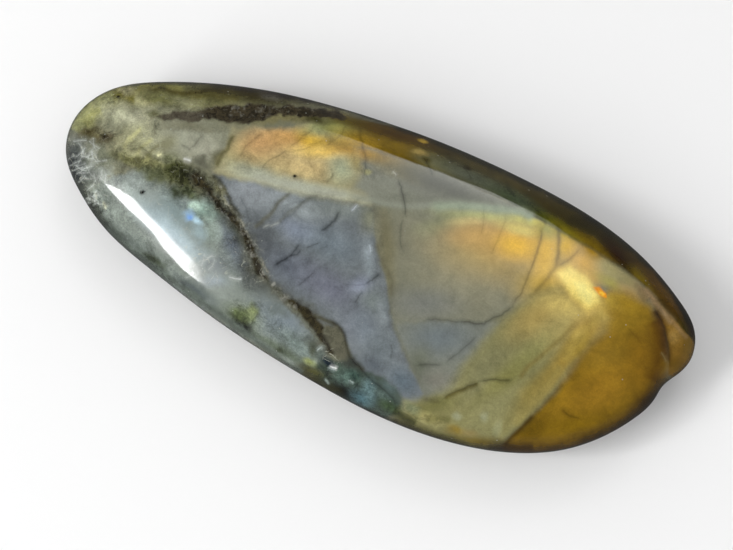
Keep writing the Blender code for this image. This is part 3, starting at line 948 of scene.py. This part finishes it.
# Smaller ragged spots: colour, middle, radii, tilt and softness
SPOTS = [
    ((84, 78, 54), (90, 131), (10, 4), -6, 0.9),
    ((108, 111, 94), (102, 158), (12, 10), 0, 0.9),
    ((108, 108, 80), (154, 115), (8, 4), 10, 0.9),
    ((158, 154, 116), (127, 91), (9, 4), 0, 0.9),
    ((96, 94, 84), (273, 96), (9, 4), 8, 0.9),
    ((72, 70, 42), (316, 119), (12, 4), 10, 0.9),
    ((86, 80, 62), (107, 137), (8, 4), -24, 0.9),
    ((50, 46, 20), (116.4, 98), (2, 1.4), 0, 0.5),
    ((108, 108, 72), (130, 160), (18, 5), 20, 0.8),
    ((122, 121, 84), (146, 163), (20, 7), 16, 0.7),
    ((88, 92, 68), (156, 174), (15, 7), 20, 0.9),
    ((74, 77, 48), (176, 172), (17, 9), 28, 0.7),
    ((66, 68, 46), (188, 182), (18, 12), 42, 0.6),
    ((46, 48, 28), (197, 178), (11, 7), 40, 0.8),
    ((62, 64, 42), (184, 168), (7, 4), 30, 0.8),
    ((88, 90, 70), (190, 170), (5, 3.4), 30, 0.9),
    ((66, 72, 56), (175, 192), (9, 6), 30, 0.8),
    ((76, 82, 62), (190, 193), (9, 4), 40, 0.8),
    ((98, 98, 84), (203, 163), (9, 5), 40, 0.8),
    ((66, 68, 46), (206, 188), (8, 12), -40, 0.7),
    ((100, 99, 76), (219, 190), (5, 8), -36, 0.7),
    ((84, 92, 84), (216, 208), (6, 10), -34, 0.9),
    ((54, 58, 52), (238, 230), (6, 12), -36, 0.9),
    ((136, 158, 146), (202, 210), (11, 8), 20, 0.9),
    ((188, 212, 196), (194, 206), (5, 3.6), 0, 0.9),
    ((152, 182, 206), (189, 216), (6, 5), 40, 0.9),
    ((124, 164, 220), (188.5, 217), (3.2, 2.6), 40, 0.8),
    ((190, 222, 236), (197, 221), (5, 3.4), 40, 0.8),
    ((88, 98, 66), (241, 316), (10, 8), 20, 0.7),
    ((24, 30, 14), (243, 328), (11, 6), 34, 0.9),
    ((112, 121, 84), (252, 311), (5, 7), 10, 0.8),
    ((106, 114, 112), (280, 310), (9, 5), 36, 0.9),
    ((100, 108, 106), (271, 313), (8, 6), 36, 0.9),
    ((150, 168, 170), (198, 232), (6, 9), -30, 0.95),
    # Painted darker, to hold back the glow past the key highlight's lower end.
    ((84, 92, 92), (194, 290), (18, 6), 38, 0.9),
    ((70, 74, 62), (314, 348), (6, 12), -20, 0.9),
    ((58, 62, 56), (349, 363), (11, 6), 38, 0.8),
    ((52, 66, 60), (355, 376), (8, 5), 40, 0.8),
    ((66, 72, 56), (279, 351), (5, 2), 20, 0.7),
    ((142, 150, 96), (309, 362), (6, 3), 24, 0.9),
    ((92, 92, 58), (312, 371), (10, 4), 26, 0.9),
    ((84, 92, 86), (322, 356), (6, 5), 40, 0.8),
    ((34, 44, 52), (328, 362), (6, 3), 30, 0.6),
    # The next two thin dark spots run along the near-left rim as painted shade.
    ((58, 64, 48), (153, 260), (13, 3.6), 36, 0.7),
    ((64, 68, 62), (94, 212), (18, 3), 54, 0.8),
    ((124, 129, 97), (411, 408), (8, 4), 24, 0.8),
    ((134, 116, 56), (456, 430), (9, 4.4), 14, 0.8),
    ((142, 128, 82), (470, 433), (7, 3), 10, 0.9),
    ((176, 146, 56), (423, 141), (5, 1.8), 16, 0.6),
    ((172, 150, 84), (419, 152), (7, 2.4), 14, 0.8),
    ((80, 73, 34), (426, 159), (4, 2.4), 20, 0.9),
    ((48, 42, 22), (468, 168), (4, 2), 20, 0.8),
    ((28, 24, 16), (294.6, 176.2), (2.3, 1.8), 0, 0.5),
    ((24, 26, 24), (142.4, 192), (3.4, 1.6), -10, 0.5),
    ((148, 150, 118), (457, 416), (4, 3.4), 0, 0.8),
    ((152, 154, 120), (485, 417), (3.4, 4.4), 0, 0.8),
    ((150, 150, 110), (498, 428), (4, 7), 10, 0.9),
    ((160, 158, 112), (368, 172), (3.5, 2.4), 0, 0.9),
    ((186, 162, 86), (578, 334), (7, 2.6), -42, 0.9),
]
SPOT_MARGIN, SPOT_RAGGED = 2.5, 0.3
BAND_END = 0.1


def lay_spot(colour, middle, radii, tilt, softness):
    """One spot laid on the stone, with its edge ragged by a share of its smaller radius."""
    close = np.abs(place - np.array(middle)).max(axis=1) < SPOT_MARGIN * max(radii)
    away = place[close] + SPOT_RAGGED * min(radii) * np.column_stack([ragged_edge, fine_lumps])[close]
    lay(colour, spot_cover(away, middle, radii, tilt, softness), close)


for colour, softness, ragged, outline_points, patches in ZONES:
    zone = area_cover(place, outline_points, softness, ragged)
    lay(colour, zone)
    for patch_colour, middle, radii, tilt in patches:
        lay(patch_colour, zone * spot_cover(drifted, middle, radii, tilt, 1.0))
for colour, width, strength, route in BANDS:
    away, share = line_distance(drifted, route, share_too=True)
    ends = smooth_step(0.0, BAND_END, np.minimum(share, 1.0 - share))
    lay(colour, strength * np.exp(-((away / width) ** 2)) * ends)
for spot in SPOTS:
    lay_spot(*spot)

# The pale yellow flash, from its glow to its bright middle, which is a painted highlight: colour, softness
# and outline
PALE_FLASH_AND_HIGHLIGHT = [
    ((226, 194, 104), 12.0, [
        (554, 272), (568, 264), (586, 274), (600, 292), (602, 304), (588, 312), (572, 298),
    ]),
    ((252, 228, 128), 7.0, [
        (558, 273), (570, 268), (586, 278), (598, 294), (599, 302), (588, 309), (572, 295),
    ]),
    ((255, 240, 146), 8.0, [(574, 282), (584, 283), (595, 296), (589, 304), (580, 297)]),
]
for colour, softness, outline_points in PALE_FLASH_AND_HIGHLIGHT:
    lay(colour, area_cover(seen, outline_points, softness))
# The orange spark beside it, with a brighter core: its middle, radii, tilt and softness
ORANGE, BRIGHT_ORANGE = (250, 156, 30), (255, 204, 66)
SPARK_OUTLINE = [(593, 287), (599, 287), (606, 294), (606, 298), (600, 296)]
SPARK_CORE = ((601.5, 293.5), (3.4, 1.8), 40, 0.5)
lay(ORANGE, area_cover(place, SPARK_OUTLINE, 2.0, 0.5))
lay(BRIGHT_ORANGE, spot_cover(place, *SPARK_CORE))

# The dark spear of an inclusion in the left end
SPEAR = [(151, 119), (168, 115), (184, 115.5), (196, 116), (212, 113), (226, 113), (240, 113.5), (256, 113),
         (280, 110), (304, 112), (324, 113), (344, 117)]
SPEAR_WIDTH = [0.6, 4.2, 4.6, 5.0, 7.4, 8.4, 10.0, 8.0, 4.0, 4.4, 4.6, 2.4]
SPEAR_BROWN, SPEAR_BLACK = (78, 71, 61), (56, 51, 40)
BLACK_RUN = (190.0, 216.0)


def stripe(route, widths):
    """Each point's distance from a stripe's middle line, and the stripe's half width there."""
    apart, share = line_distance(place, route, share_too=True)
    return apart, np.interp(share * (len(route) - 1), range(len(route)), widths)


def stripe_cover(apart, width, inner, outer, ragged):
    """1 on a stripe and 0 beside it. Its edge is soft from inner pixels inside to outer pixels outside."""
    return 1.0 - smooth_step(width - inner, width + outer, apart + ragged * ragged_edge)


spear = stripe_cover(*stripe(SPEAR, SPEAR_WIDTH), 1.8, 1.2, 1.4)
lay(SPEAR_BROWN, spear * 0.9)
lay(SPEAR_BLACK, spear * smooth_step(*BLACK_RUN, seen[:, 0]) * 0.85)

# Painted shade where the stone turns away at the rim: colour, how far in, and the line of the rim
RIM_SHADE = [
    ((44, 36, 22), 6.0, [(140, 81), (200, 81), (250, 87), (300, 97), (350, 109), (420, 132)]),
    ((36, 37, 16), 8.0, [(400, 125), (420, 132), (500, 168), (580, 207), (630, 243), (650, 264)]),
    ((36, 34, 14), 4.5, [(650, 264), (670, 288), (694, 330)]),
    ((40, 30, 8), 22.0, [(484, 457), (530, 458), (570, 451), (610, 437), (640, 415), (664, 388)]),
    ((52, 40, 20), 5.0, [(690, 326), (697, 342), (694, 358), (680, 374), (664, 388)]),
    ((52, 50, 30), 11.0, [(300, 372), (336, 394)]),
    ((40, 46, 40), 4.5, [(336, 394), (360, 408), (396, 423)]),
    ((52, 50, 30), 11.0, [(396, 423), (430, 436), (492, 456)]),
    ((80, 88, 80), 8.0, [(104, 228), (140, 258), (166, 276)]),
    ((92, 100, 92), 5.0, [(140, 258), (200, 300), (300, 372)]),
    ((60, 64, 58), 4.5, [(78, 184), (88, 204), (104, 228)]),
]
RIM_DARKNESS, RIM_RAGGED = 0.9, 1.2
for colour, depth, line in RIM_SHADE:
    apart = line_distance(straight, line) + RIM_RAGGED * ragged_edge
    lay(colour, RIM_DARKNESS * (1.0 - smooth_step(0.0, depth, apart)))

# The seam: a healed fracture left rough and pitted, filled with black-brown grit between olive margins
SEAM = [
    (196, 176), (206, 187), (213, 196), (220, 206), (228, 215), (236, 223), (243, 232), (248, 241),
    (251, 250), (254, 260), (259, 270), (266, 278), (275, 288), (288, 299), (298, 306), (306, 312),
    (313, 320), (320, 330), (325, 340), (332, 352),
]
SEAM_WIDTH = [
    3.5, 3.4, 2.8, 2.0, 2.2, 3.4, 4.0, 4.0, 4.4, 4.0, 3.0, 1.6, 0.8, 0.8, 2.0, 4.4, 5.6, 5.0, 4.2, 3.0,
]
SEAM_EDGE = [(226, 201), (234, 212), (241, 222), (248, 233), (255, 245), (259, 255), (263, 265), (268, 273)]
SMOOTH_TO_GRITTY = (306.0, 290.0)
MARGIN_WIDTH, EDGE_WIDTH = 8.0, 1.1
OLIVE_MARGIN, BROWN_GRIT, PALE_GRAIN, PALE_EDGE = (84, 84, 72), (50, 45, 31), (152, 152, 142), (150, 148, 132)
# Pale grains in the grit: how strongly they show, middle, radii and tilt
GRAIN_SIZE = 3.6
GRAINS = [
    (0.6, (255, 254), (7, 15), -22), (0.7, (275, 287), (16, 7), 44), (0.4, (293, 308), (7, 4), 25),
    (0.5, (219, 191), (5, 5), 0), (0.3, (240, 228), (5, 10), -35), (0.25, (236, 112), (36, 7), 0),
]
# The pocket beside the seam's lower end
POCKET_BROWN = (91, 90, 75)
POCKET = [(325, 325), (338, 327), (345, 338), (348, 352), (347, 361), (337, 359), (331, 347), (323, 334)]
CRACK_MARGIN, FIBRE_AND_GLINT_MARGIN = 8.0, 5.0
CRACK_END, CRACK_END_DARKNESS, CRACK_DEPTH = 0.12, 0.45, 0.85
FIBRE_AND_GLINT_STRENGTH = 0.6
apart, width = stripe(SEAM, SEAM_WIDTH)
gritty = smooth_step(*SMOOTH_TO_GRITTY, seen[:, 1])
seam = stripe_cover(apart, width, 2.0, 1.5, 1.3 + 0.7 * gritty)
margin = stripe_cover(apart, width, 0.0, MARGIN_WIDTH, 2.6)
lay(OLIVE_MARGIN, margin * 0.6)
lay(BROWN_GRIT, seam * 0.92)
grains = smooth_step(0.25, 0.7, lumps(GRAIN_SIZE, 2, 7))
for amount, middle, radii, tilt in GRAINS:
    lay(PALE_GRAIN, amount * spot_cover(place, middle, radii, tilt, 0.5) * grains)
pale_edge = np.exp(-((line_distance(place, SEAM_EDGE) / EDGE_WIDTH) ** 2))
lay(PALE_EDGE, pale_edge * smooth_step(-0.7, 0.3, fine_lumps) * 0.65)
lay(POCKET_BROWN, area_cover(place, POCKET, 5.0, 1.0))


def close_to(line, reach):
    """Which points are seen within reach of the line's box."""
    return ((seen > line.min(axis=0) - reach) & (seen < line.max(axis=0) + reach)).all(axis=1)


# Cracks darken the colour along their lines; the line at the tip darkens the valley as painted shade
for (width, dark, _), line in zip(CRACKS_AND_VALLEY_SHADE, crack_and_valley_lines, strict=True):
    close = close_to(line, CRACK_MARGIN)
    apart, share = line_distance(seen[close], line, share_too=True)
    middle_part = smooth_step(0.0, CRACK_END, share) * smooth_step(0.0, CRACK_END, 1.0 - share)
    darkness = dark * (CRACK_END_DARKNESS + (1.0 - CRACK_END_DARKNESS) * middle_part)
    cover = darkness * np.exp(-((apart / width) ** 2))
    paint[close, :3] *= (1.0 - CRACK_DEPTH * cover)[:, None]
# Pale fibres and grains, and the glints as painted highlights, laid along their lines
for (colour, width, _), line in zip(FIBRES_AND_GLINTS, fibre_and_glint_lines, strict=True):
    close = close_to(line, FIBRE_AND_GLINT_MARGIN)
    lay(colour, FIBRE_AND_GLINT_STRENGTH * np.exp(-((line_distance(seen[close], line) / width) ** 2)), close)

# How granular the stone is, by area: amount, softness and outline
GRANULAR = [
    (0.75, 14, [
        (60, 100), (120, 78), (240, 84), (345, 104), (345, 122), (240, 122), (160, 122), (166, 156),
        (196, 166), (222, 176), (246, 214), (266, 270), (252, 300), (216, 262), (196, 214), (150, 194),
        (110, 200), (84, 180),
    ]),
    (0.4, 14, [(160, 120), (240, 122), (234, 150), (214, 172), (170, 160)]),
    (0.8, 8, [(60, 140), (96, 140), (118, 190), (160, 250), (216, 310), (206, 314), (130, 250), (84, 200)]),
    (0.8, 10, [
        (230, 300), (262, 300), (330, 352), (362, 370), (404, 410), (380, 416), (300, 372), (236, 332),
    ]),
    (0.5, 14, [(240, 126), (345, 118), (400, 140), (400, 180), (300, 186), (216, 172)]),
    (0.4, 14, [(216, 174), (380, 200), (392, 300), (420, 400), (390, 396), (340, 330), (262, 270)]),
    (0.34, 14, [
        (500, 316), (560, 280), (650, 294), (690, 340), (600, 450), (500, 450), (420, 400), (470, 344),
    ]),
    (0.5, 10, [
        (360, 122), (480, 156), (600, 214), (680, 300), (690, 350), (670, 360), (640, 284), (540, 220),
        (440, 168),
    ]),
]
# Where the colour flashes a little like metal, where pale fibres run, and where dark flecks lie: amount,
# middle, radii and tilt. The spear's dark run and the seam are flecked too.
FLASHES = [
    (0.2, (300, 150), (90, 30), 5), (0.2, (530, 250), (80, 36), 22), (0.15, (580, 290), (34, 26), 40),
    (0.1, (320, 250), (80, 60), 30), (0.1, (600, 380), (60, 50), 0),
]
VEINS = [
    (1.0, (86, 166), (22, 50), -14), (0.4, (138, 138), (34, 20), -10), (0.4, (182, 172), (34, 14), 30),
    (0.6, (170, 214), (50, 22), 44), (1.0, (204, 262), (30, 20), 44), (0.7, (246, 250), (14, 60), -28),
    (0.5, (230, 106), (80, 10), 3), (0.4, (100, 104), (30, 14), -30), (1.0, (328, 358), (11, 14), -30),
]
FLECKS = [
    (0.6, (184, 178), (34, 14), 32), (0.45, (140, 162), (24, 8), 18), (0.6, (216, 196), (10, 22), -34),
    (0.5, (104, 134), (16, 6), 0), (0.4, (242, 316), (18, 12), 20), (0.3, (350, 384), (30, 16), 28),
    (0.4, (112, 98), (18, 6), -14), (0.6, (98, 206), (8, 24), -34), (0.25, (420, 416), (34, 8), 22),
    (0.35, (150, 268), (30, 8), 38), (0.25, (332, 340), (18, 16), 40),
]
FLECKED_RUN = (190.0, 220.0)
ROUGH, FLASHING, VEINED, FLECKED = range(4)
marks = np.zeros((len(points), 4))


def mark(channel, spots, softness):
    """Raise one channel of the marks to each spot's amount."""
    for amount, middle, radii, tilt in spots:
        cover = amount * spot_cover(place, middle, radii, tilt, softness)
        marks[:, channel] = np.maximum(marks[:, channel], cover)


for amount, softness, outline_points in GRANULAR:
    paint[:, 3] = np.maximum(paint[:, 3], amount * area_cover(place, outline_points, softness, 3.0))
marks[:, ROUGH] = seam * gritty * (0.5 + 0.3 * fine_lumps)
dark_spear = spear * smooth_step(*FLECKED_RUN, seen[:, 0])
marks[:, FLECKED] = np.maximum(0.5 * seam, np.maximum(0.3 * margin, 0.5 * dark_spear))
mark(FLASHING, FLASHES, 0.5)
mark(VEINED, VEINS, 0.6)
mark(FLECKED, FLECKS, 0.5)

# The pitted seam lies a little below the polish, on the crown only
PIT_DEPTH, PIT_UNEVENNESS, PIT_SIZE = 0.11, 0.06, 0.45
PITS_FROM, PITS_FULL = GIRDLE_HEIGHT + 0.5, GIRDLE_HEIGHT + 2.5
pits = marks[:, ROUGH] * (PIT_DEPTH + PIT_UNEVENNESS * soft_noise(points[:, 0], points[:, 1], PIT_SIZE, 9))
points[:, 2] -= pits * smooth_step(PITS_FROM, PITS_FULL, points[:, 2])

mesh = bpy.data.meshes.new("labradorite_polished")
mesh.from_pydata((points * MM).tolist(), [], faces)

# The flash shows only on the side turned to the view. The other sides and the underside have the stone's
# smoky olive-grey, with the same bands fainter in it.
# This blend also paints the rim darker where it turns away from the view, as painted shade.
TURNED_FROM, TURNED_FULL = 0.25, -0.05
SMOKY_BODY_AND_SHADE, SMOKINESS, FLASH_LOST = (62, 64, 50), 0.75, 0.8
normals = np.empty(3 * len(points))
mesh.vertices.foreach_get("normal", normals)
turned = smooth_step(TURNED_FROM, TURNED_FULL, normals.reshape(-1, 3) @ toward_view)
lay(SMOKY_BODY_AND_SHADE, SMOKINESS * turned)
marks[:, FLASHING] *= 1.0 - FLASH_LOST * turned
for name, values in (("paint", paint), ("marks", marks)):
    layer = mesh.color_attributes.new(name, "FLOAT_COLOR", "POINT")
    layer.data.foreach_set("color", values.astype(np.float32).ravel())
mesh.shade_smooth()
mesh.validate()
stone = placed("labradorite_polished", mesh)

# The finish: clear polish over the painted depth, with fine grain, thin lamellae, bright specks and, in the
# seam, a matt gritty surface.
material = bpy.data.materials.new("polished_labradorite")
material.use_nodes = True
stone_tree = material.node_tree
surface = stone_tree.nodes["Principled BSDF"]


def feed(tree, sockets, values):
    """Give each named socket its value, which is a number, a colour or the socket that it is read from."""
    for name, value in values.items():
        if isinstance(value, bpy.types.NodeSocket):
            tree.links.new(value, sockets[name])
        else:
            sockets[name].default_value = value


def node(tree, kind, inputs=None, **settings):
    """A new node of the tree, with its settings made and its inputs fed."""
    made = tree.nodes.new(kind)
    for name, value in settings.items():
        setattr(made, name, value)
    feed(tree, made.inputs, inputs or {})
    return made


def maths(tree, operation, first, second):
    """A math node's result. Each side is a socket or a number."""
    return node(tree, "ShaderNodeMath", {0: first, 1: second}, operation=operation).outputs[0]


def times(first, second):
    return maths(stone_tree, "MULTIPLY", first, second)


def plus(first, second):
    return maths(stone_tree, "ADD", first, second)


def minus(first, second):
    return maths(stone_tree, "SUBTRACT", first, second)


def ramp(tree, value, low, high, bottom=0.0, top=1.0):
    """Value stretched from low..high to bottom..top, with even ends."""
    inputs = {"Value": value, "From Min": low, "From Max": high, "To Min": bottom, "To Max": top}
    return node(tree, "ShaderNodeMapRange", inputs, interpolation_type="SMOOTHSTEP").outputs[0]


def noise_of(coordinates, scale, detail=2.0, distortion=0.0, roughness=0.5):
    """A noise in the stone's material, around 0.5."""
    inputs = {"Vector": coordinates, "Scale": scale, "Detail": detail, "Distortion": distortion,
              "Roughness": roughness}
    return node(stone_tree, "ShaderNodeTexNoise", inputs).outputs[0]


def mixed(tree, factor, first, second):
    """Two colours mixed. Each is a socket or a colour."""
    made = node(tree, "ShaderNodeMix", {"Factor": factor, "A": first, "B": second}, data_type="RGBA")
    return made.outputs["Result"]


# Scales of the grain are in lumps to a millimetre
CLOUD_SCALE, GRIT_SCALE, FINE_SCALE, FLECK_SCALE, SPECK_SCALE, WEB_SCALE = 0.42, 2.6, 4.5, 1.1, 1.7, 0.7
LAMELLA_TURN, LAMELLA_SIZE = math.radians(102.0), (9.0, 0.6, 3.0)
SPECK_COLOUR, SPECK_STRENGTH = (0.50, 0.52, 0.46, 1.0), 0.45
WEB_COLOUR, WEB_STRENGTH = (0.46, 0.47, 0.38, 1.0), 0.7
POLISHED_ROUGHNESS, GRIT_ROUGHNESS = 0.22, 0.6
GRIT_COAT = 0.15
CLOUD_RELIEF, WEB_RELIEF = 0.004, 0.06
RELIEF_DEPTH = 0.0001

where = node(stone_tree, "ShaderNodeTexCoord").outputs["Object"]
in_mm = node(stone_tree, "ShaderNodeVectorMath", {0: where, "Scale": 1.0 / MM}, operation="SCALE").outputs[0]
painted = node(stone_tree, "ShaderNodeAttribute", attribute_name="paint")
marked = node(stone_tree, "ShaderNodeAttribute", attribute_name="marks")
marks_split = node(stone_tree, "ShaderNodeSeparateColor", {0: marked.outputs["Color"]})
rough, flashing, veined = marks_split.outputs[:3]
granular, flecked = painted.outputs["Alpha"], marked.outputs["Alpha"]

# Lamellae run slantwise across the stone, much longer than they are wide
lamella_space = node(stone_tree, "ShaderNodeMapping", {
    "Vector": in_mm, "Rotation": (0.0, 0.0, LAMELLA_TURN), "Scale": LAMELLA_SIZE}, vector_type="TEXTURE")
lamellae = noise_of(lamella_space.outputs[0], 1.0, 3.0)
cloud = noise_of(in_mm, CLOUD_SCALE, 8.0, 0.4, roughness=0.74)
grit = noise_of(in_mm, GRIT_SCALE, 4.0, roughness=0.6)
coarse = ramp(stone_tree, grit, 0.4, 0.62, -0.4, 0.6)
flecks = ramp(stone_tree, noise_of(in_mm, FLECK_SCALE, 6.0, 0.6, roughness=0.7), 0.42, 0.56, 0.75, -0.6)
fine = ramp(stone_tree, noise_of(in_mm, FINE_SCALE), 0.3, 0.7, -1.0, 1.0)

# The tone is about 1: cloud around a quarter, times lamellae around four, then grit, flecks and fine grain
tone = plus(times(minus(cloud, 0.5), granular), 0.25)
tone = times(tone, ramp(stone_tree, lamellae, 0.25, 0.75, 3.92, 4.08))
tone = times(tone, plus(times(coarse, rough), 1.0))
tone = times(tone, minus(1.0, times(flecks, flecked)))
tone = times(tone, plus(times(fine, plus(times(granular, 0.15), 0.015)), 1.0))
colour = painted.outputs["Color"]
toned = node(stone_tree, "ShaderNodeVectorMath", {0: colour, "Scale": tone}, operation="SCALE").outputs[0]

# Bright specks: small crystal faces, sparse in the clear stone and crowded along the seam
specks = node(stone_tree, "ShaderNodeTexVoronoi", {"Vector": in_mm, "Scale": SPECK_SCALE})
chance = node(stone_tree, "ShaderNodeSeparateColor", {0: specks.outputs["Color"]}).outputs[0]
crowding = plus(times(rough, 0.35), times(maths(stone_tree, "POWER", granular, 2.0), 0.06))
chosen = maths(stone_tree, "GREATER_THAN", chance, minus(0.999, crowding))
speck = times(ramp(stone_tree, specks.outputs["Distance"], 0.10, 0.20, 1.0, 0.0), chosen)
speckled = mixed(stone_tree, times(speck, SPECK_STRENGTH), toned, SPECK_COLOUR)

# Pale fibres where the stone is shattered: thin lines where a noise crosses its middle, in broken lengths
off_middle = maths(stone_tree, "ABSOLUTE", minus(noise_of(in_mm, WEB_SCALE, 2.5, 0.4), 0.5), 0.0)
broken = ramp(stone_tree, noise_of(in_mm, WEB_SCALE, 3.0), 0.48, 0.62)
web = times(times(ramp(stone_tree, off_middle, 0.0, 0.03, 1.0, 0.0), broken), veined)
relief = plus(times(grit, rough), times(cloud, CLOUD_RELIEF))
relief = plus(relief, times(web, WEB_RELIEF))
bump = node(stone_tree, "ShaderNodeBump", {"Height": relief, "Strength": 0.6, "Distance": RELIEF_DEPTH})
feed(stone_tree, surface.inputs, {
    "Base Color": mixed(stone_tree, times(web, WEB_STRENGTH), speckled, WEB_COLOUR),
    "Roughness": ramp(stone_tree, rough, 0.0, 1.0, POLISHED_ROUGHNESS, GRIT_ROUGHNESS),
    "Metallic": flashing,
    "Coat Weight": ramp(stone_tree, rough, 0.2, 1.0, 1.0, GRIT_COAT),
    "Coat Roughness": 0.04,
    "Specular IOR Level": 0.35,
    "Coat IOR": 1.5,
    "IOR": 1.45,
    "Normal": bump.outputs[0],
})
mesh.materials.append(material)

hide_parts("labradorite_stone")
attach(stone, "root")

# The setting: a plain pale floor and soft studio light. A narrow key light from the near left draws the
# bright streak along the stone's shoulder, and a broad light behind lays a veil over the top as far as the
# ridge. The polish mirrors a floor and a room that are darker than those that light it.
FLOOR_REACH, FLOOR_GAP = 3.0, 0.0001
FLOOR_TONE, FLOOR_MIRRORED, FLOOR_ROUGHNESS = 0.88, 0.06, 0.9
ROOM_STRENGTH, ROOM_MIRRORED = 0.65, 0.035
LIGHT_DISTANCE = 0.9


def grey(tone):
    return (tone, tone, tone, 1.0)


floor_mesh = bpy.data.meshes.new("pale_floor")
floor_corners = [(x * FLOOR_REACH, y * FLOOR_REACH, 0.0) for x, y in ((-1, -1), (1, -1), (1, 1), (-1, 1))]
floor_mesh.from_pydata(floor_corners, [], [(0, 1, 2, 3)])
floor = placed("pale_floor", floor_mesh)
floor.location.z = -FLOOR_GAP
floor_material = bpy.data.materials.new("pale_floor")
floor_material.use_nodes = True
floor_tree = floor_material.node_tree
in_polish = node(floor_tree, "ShaderNodeLightPath").outputs["Is Glossy Ray"]
floor_colour = mixed(floor_tree, in_polish, grey(FLOOR_TONE), grey(FLOOR_MIRRORED))
floor_surface = floor_tree.nodes["Principled BSDF"]
feed(floor_tree, floor_surface.inputs, {"Roughness": FLOOR_ROUGHNESS, "Base Color": floor_colour})
floor_mesh.materials.append(floor_material)

world = bpy.data.worlds.new("studio")
bpy.context.scene.world = world
world.use_nodes = True
room_tree = world.node_tree
lit_room = room_tree.nodes["Background"]
feed(room_tree, lit_room.inputs, {"Strength": ROOM_STRENGTH, "Color": grey(1.0)})
dark_room = node(room_tree, "ShaderNodeBackground", {"Color": grey(ROOM_MIRRORED)})
in_polish = node(room_tree, "ShaderNodeLightPath").outputs["Is Glossy Ray"]
room = node(room_tree, "ShaderNodeMixShader", {0: in_polish, 1: lit_room.outputs[0], 2: dark_room.outputs[0]})
feed(room_tree, room_tree.nodes["World Output"].inputs, {"Surface": room.outputs[0]})


def soft_light(name, azimuth, elevation, wide, high, radiance, edges):
    """A rectangular light aimed at the stone, as bright to look at as radiance says.

    Each edge is (across, up, bend, dark, full). Over the light, across times the share of its width, plus up
    times the share of its height, plus bend times the square of the first share, grows from dark, where the
    light is off, to full.
    """
    way = Vector(way_towards(math.radians(azimuth), math.radians(elevation)))
    light = bpy.data.lights.new(name, "AREA")
    light.shape = "RECTANGLE"
    light.size, light.size_y = wide, high
    light.energy = radiance * math.pi * wide * high
    light.use_nodes = True
    tree = light.node_tree
    on_light = node(tree, "ShaderNodeNewGeometry").outputs["Parametric"]
    share_across, share_up, _ = node(tree, "ShaderNodeSeparateXYZ", {0: on_light}).outputs
    squared = maths(tree, "MULTIPLY", share_across, share_across)
    spot = node(tree, "ShaderNodeCombineXYZ", {0: share_across, 1: share_up, 2: squared}).outputs[0]
    shine = 1.0
    for across, up, bend, dark, full in edges:
        along = node(tree, "ShaderNodeVectorMath", {0: spot, 1: (across, up, bend)}, operation="DOT_PRODUCT")
        shine = maths(tree, "MULTIPLY", ramp(tree, along.outputs["Value"], dark, full), shine)
    feed(tree, tree.nodes["Emission"].inputs, {"Strength": shine})
    lamp = placed(name, light)
    lamp.location = way * LIGHT_DISTANCE
    lamp.rotation_euler = way.to_track_quat("Z", "Y").to_euler()


soft_light("key_light", azimuth=-39.0, elevation=31.0, wide=0.52, high=0.84, radiance=18.0, edges=[
    (-0.87, 1.0, 1.53, 0.50, 0.54), (0.18, 1.0, 0.48, 1.04, 0.92), (2.45, 1.0, 0.0, 2.64, 2.34),
])
soft_light("veil_light", azimuth=183.5, elevation=58.0, wide=0.68, high=0.36, radiance=2.4, edges=[
    (1.0, 0.0, 0.0, 0.17, 0.42), (1.0, 0.0, 0.0, 0.9, 0.55), (0.0, 1.0, 0.0, 1.0, 0.4),
])
bpy.context.scene.view_settings.view_transform = "Standard"
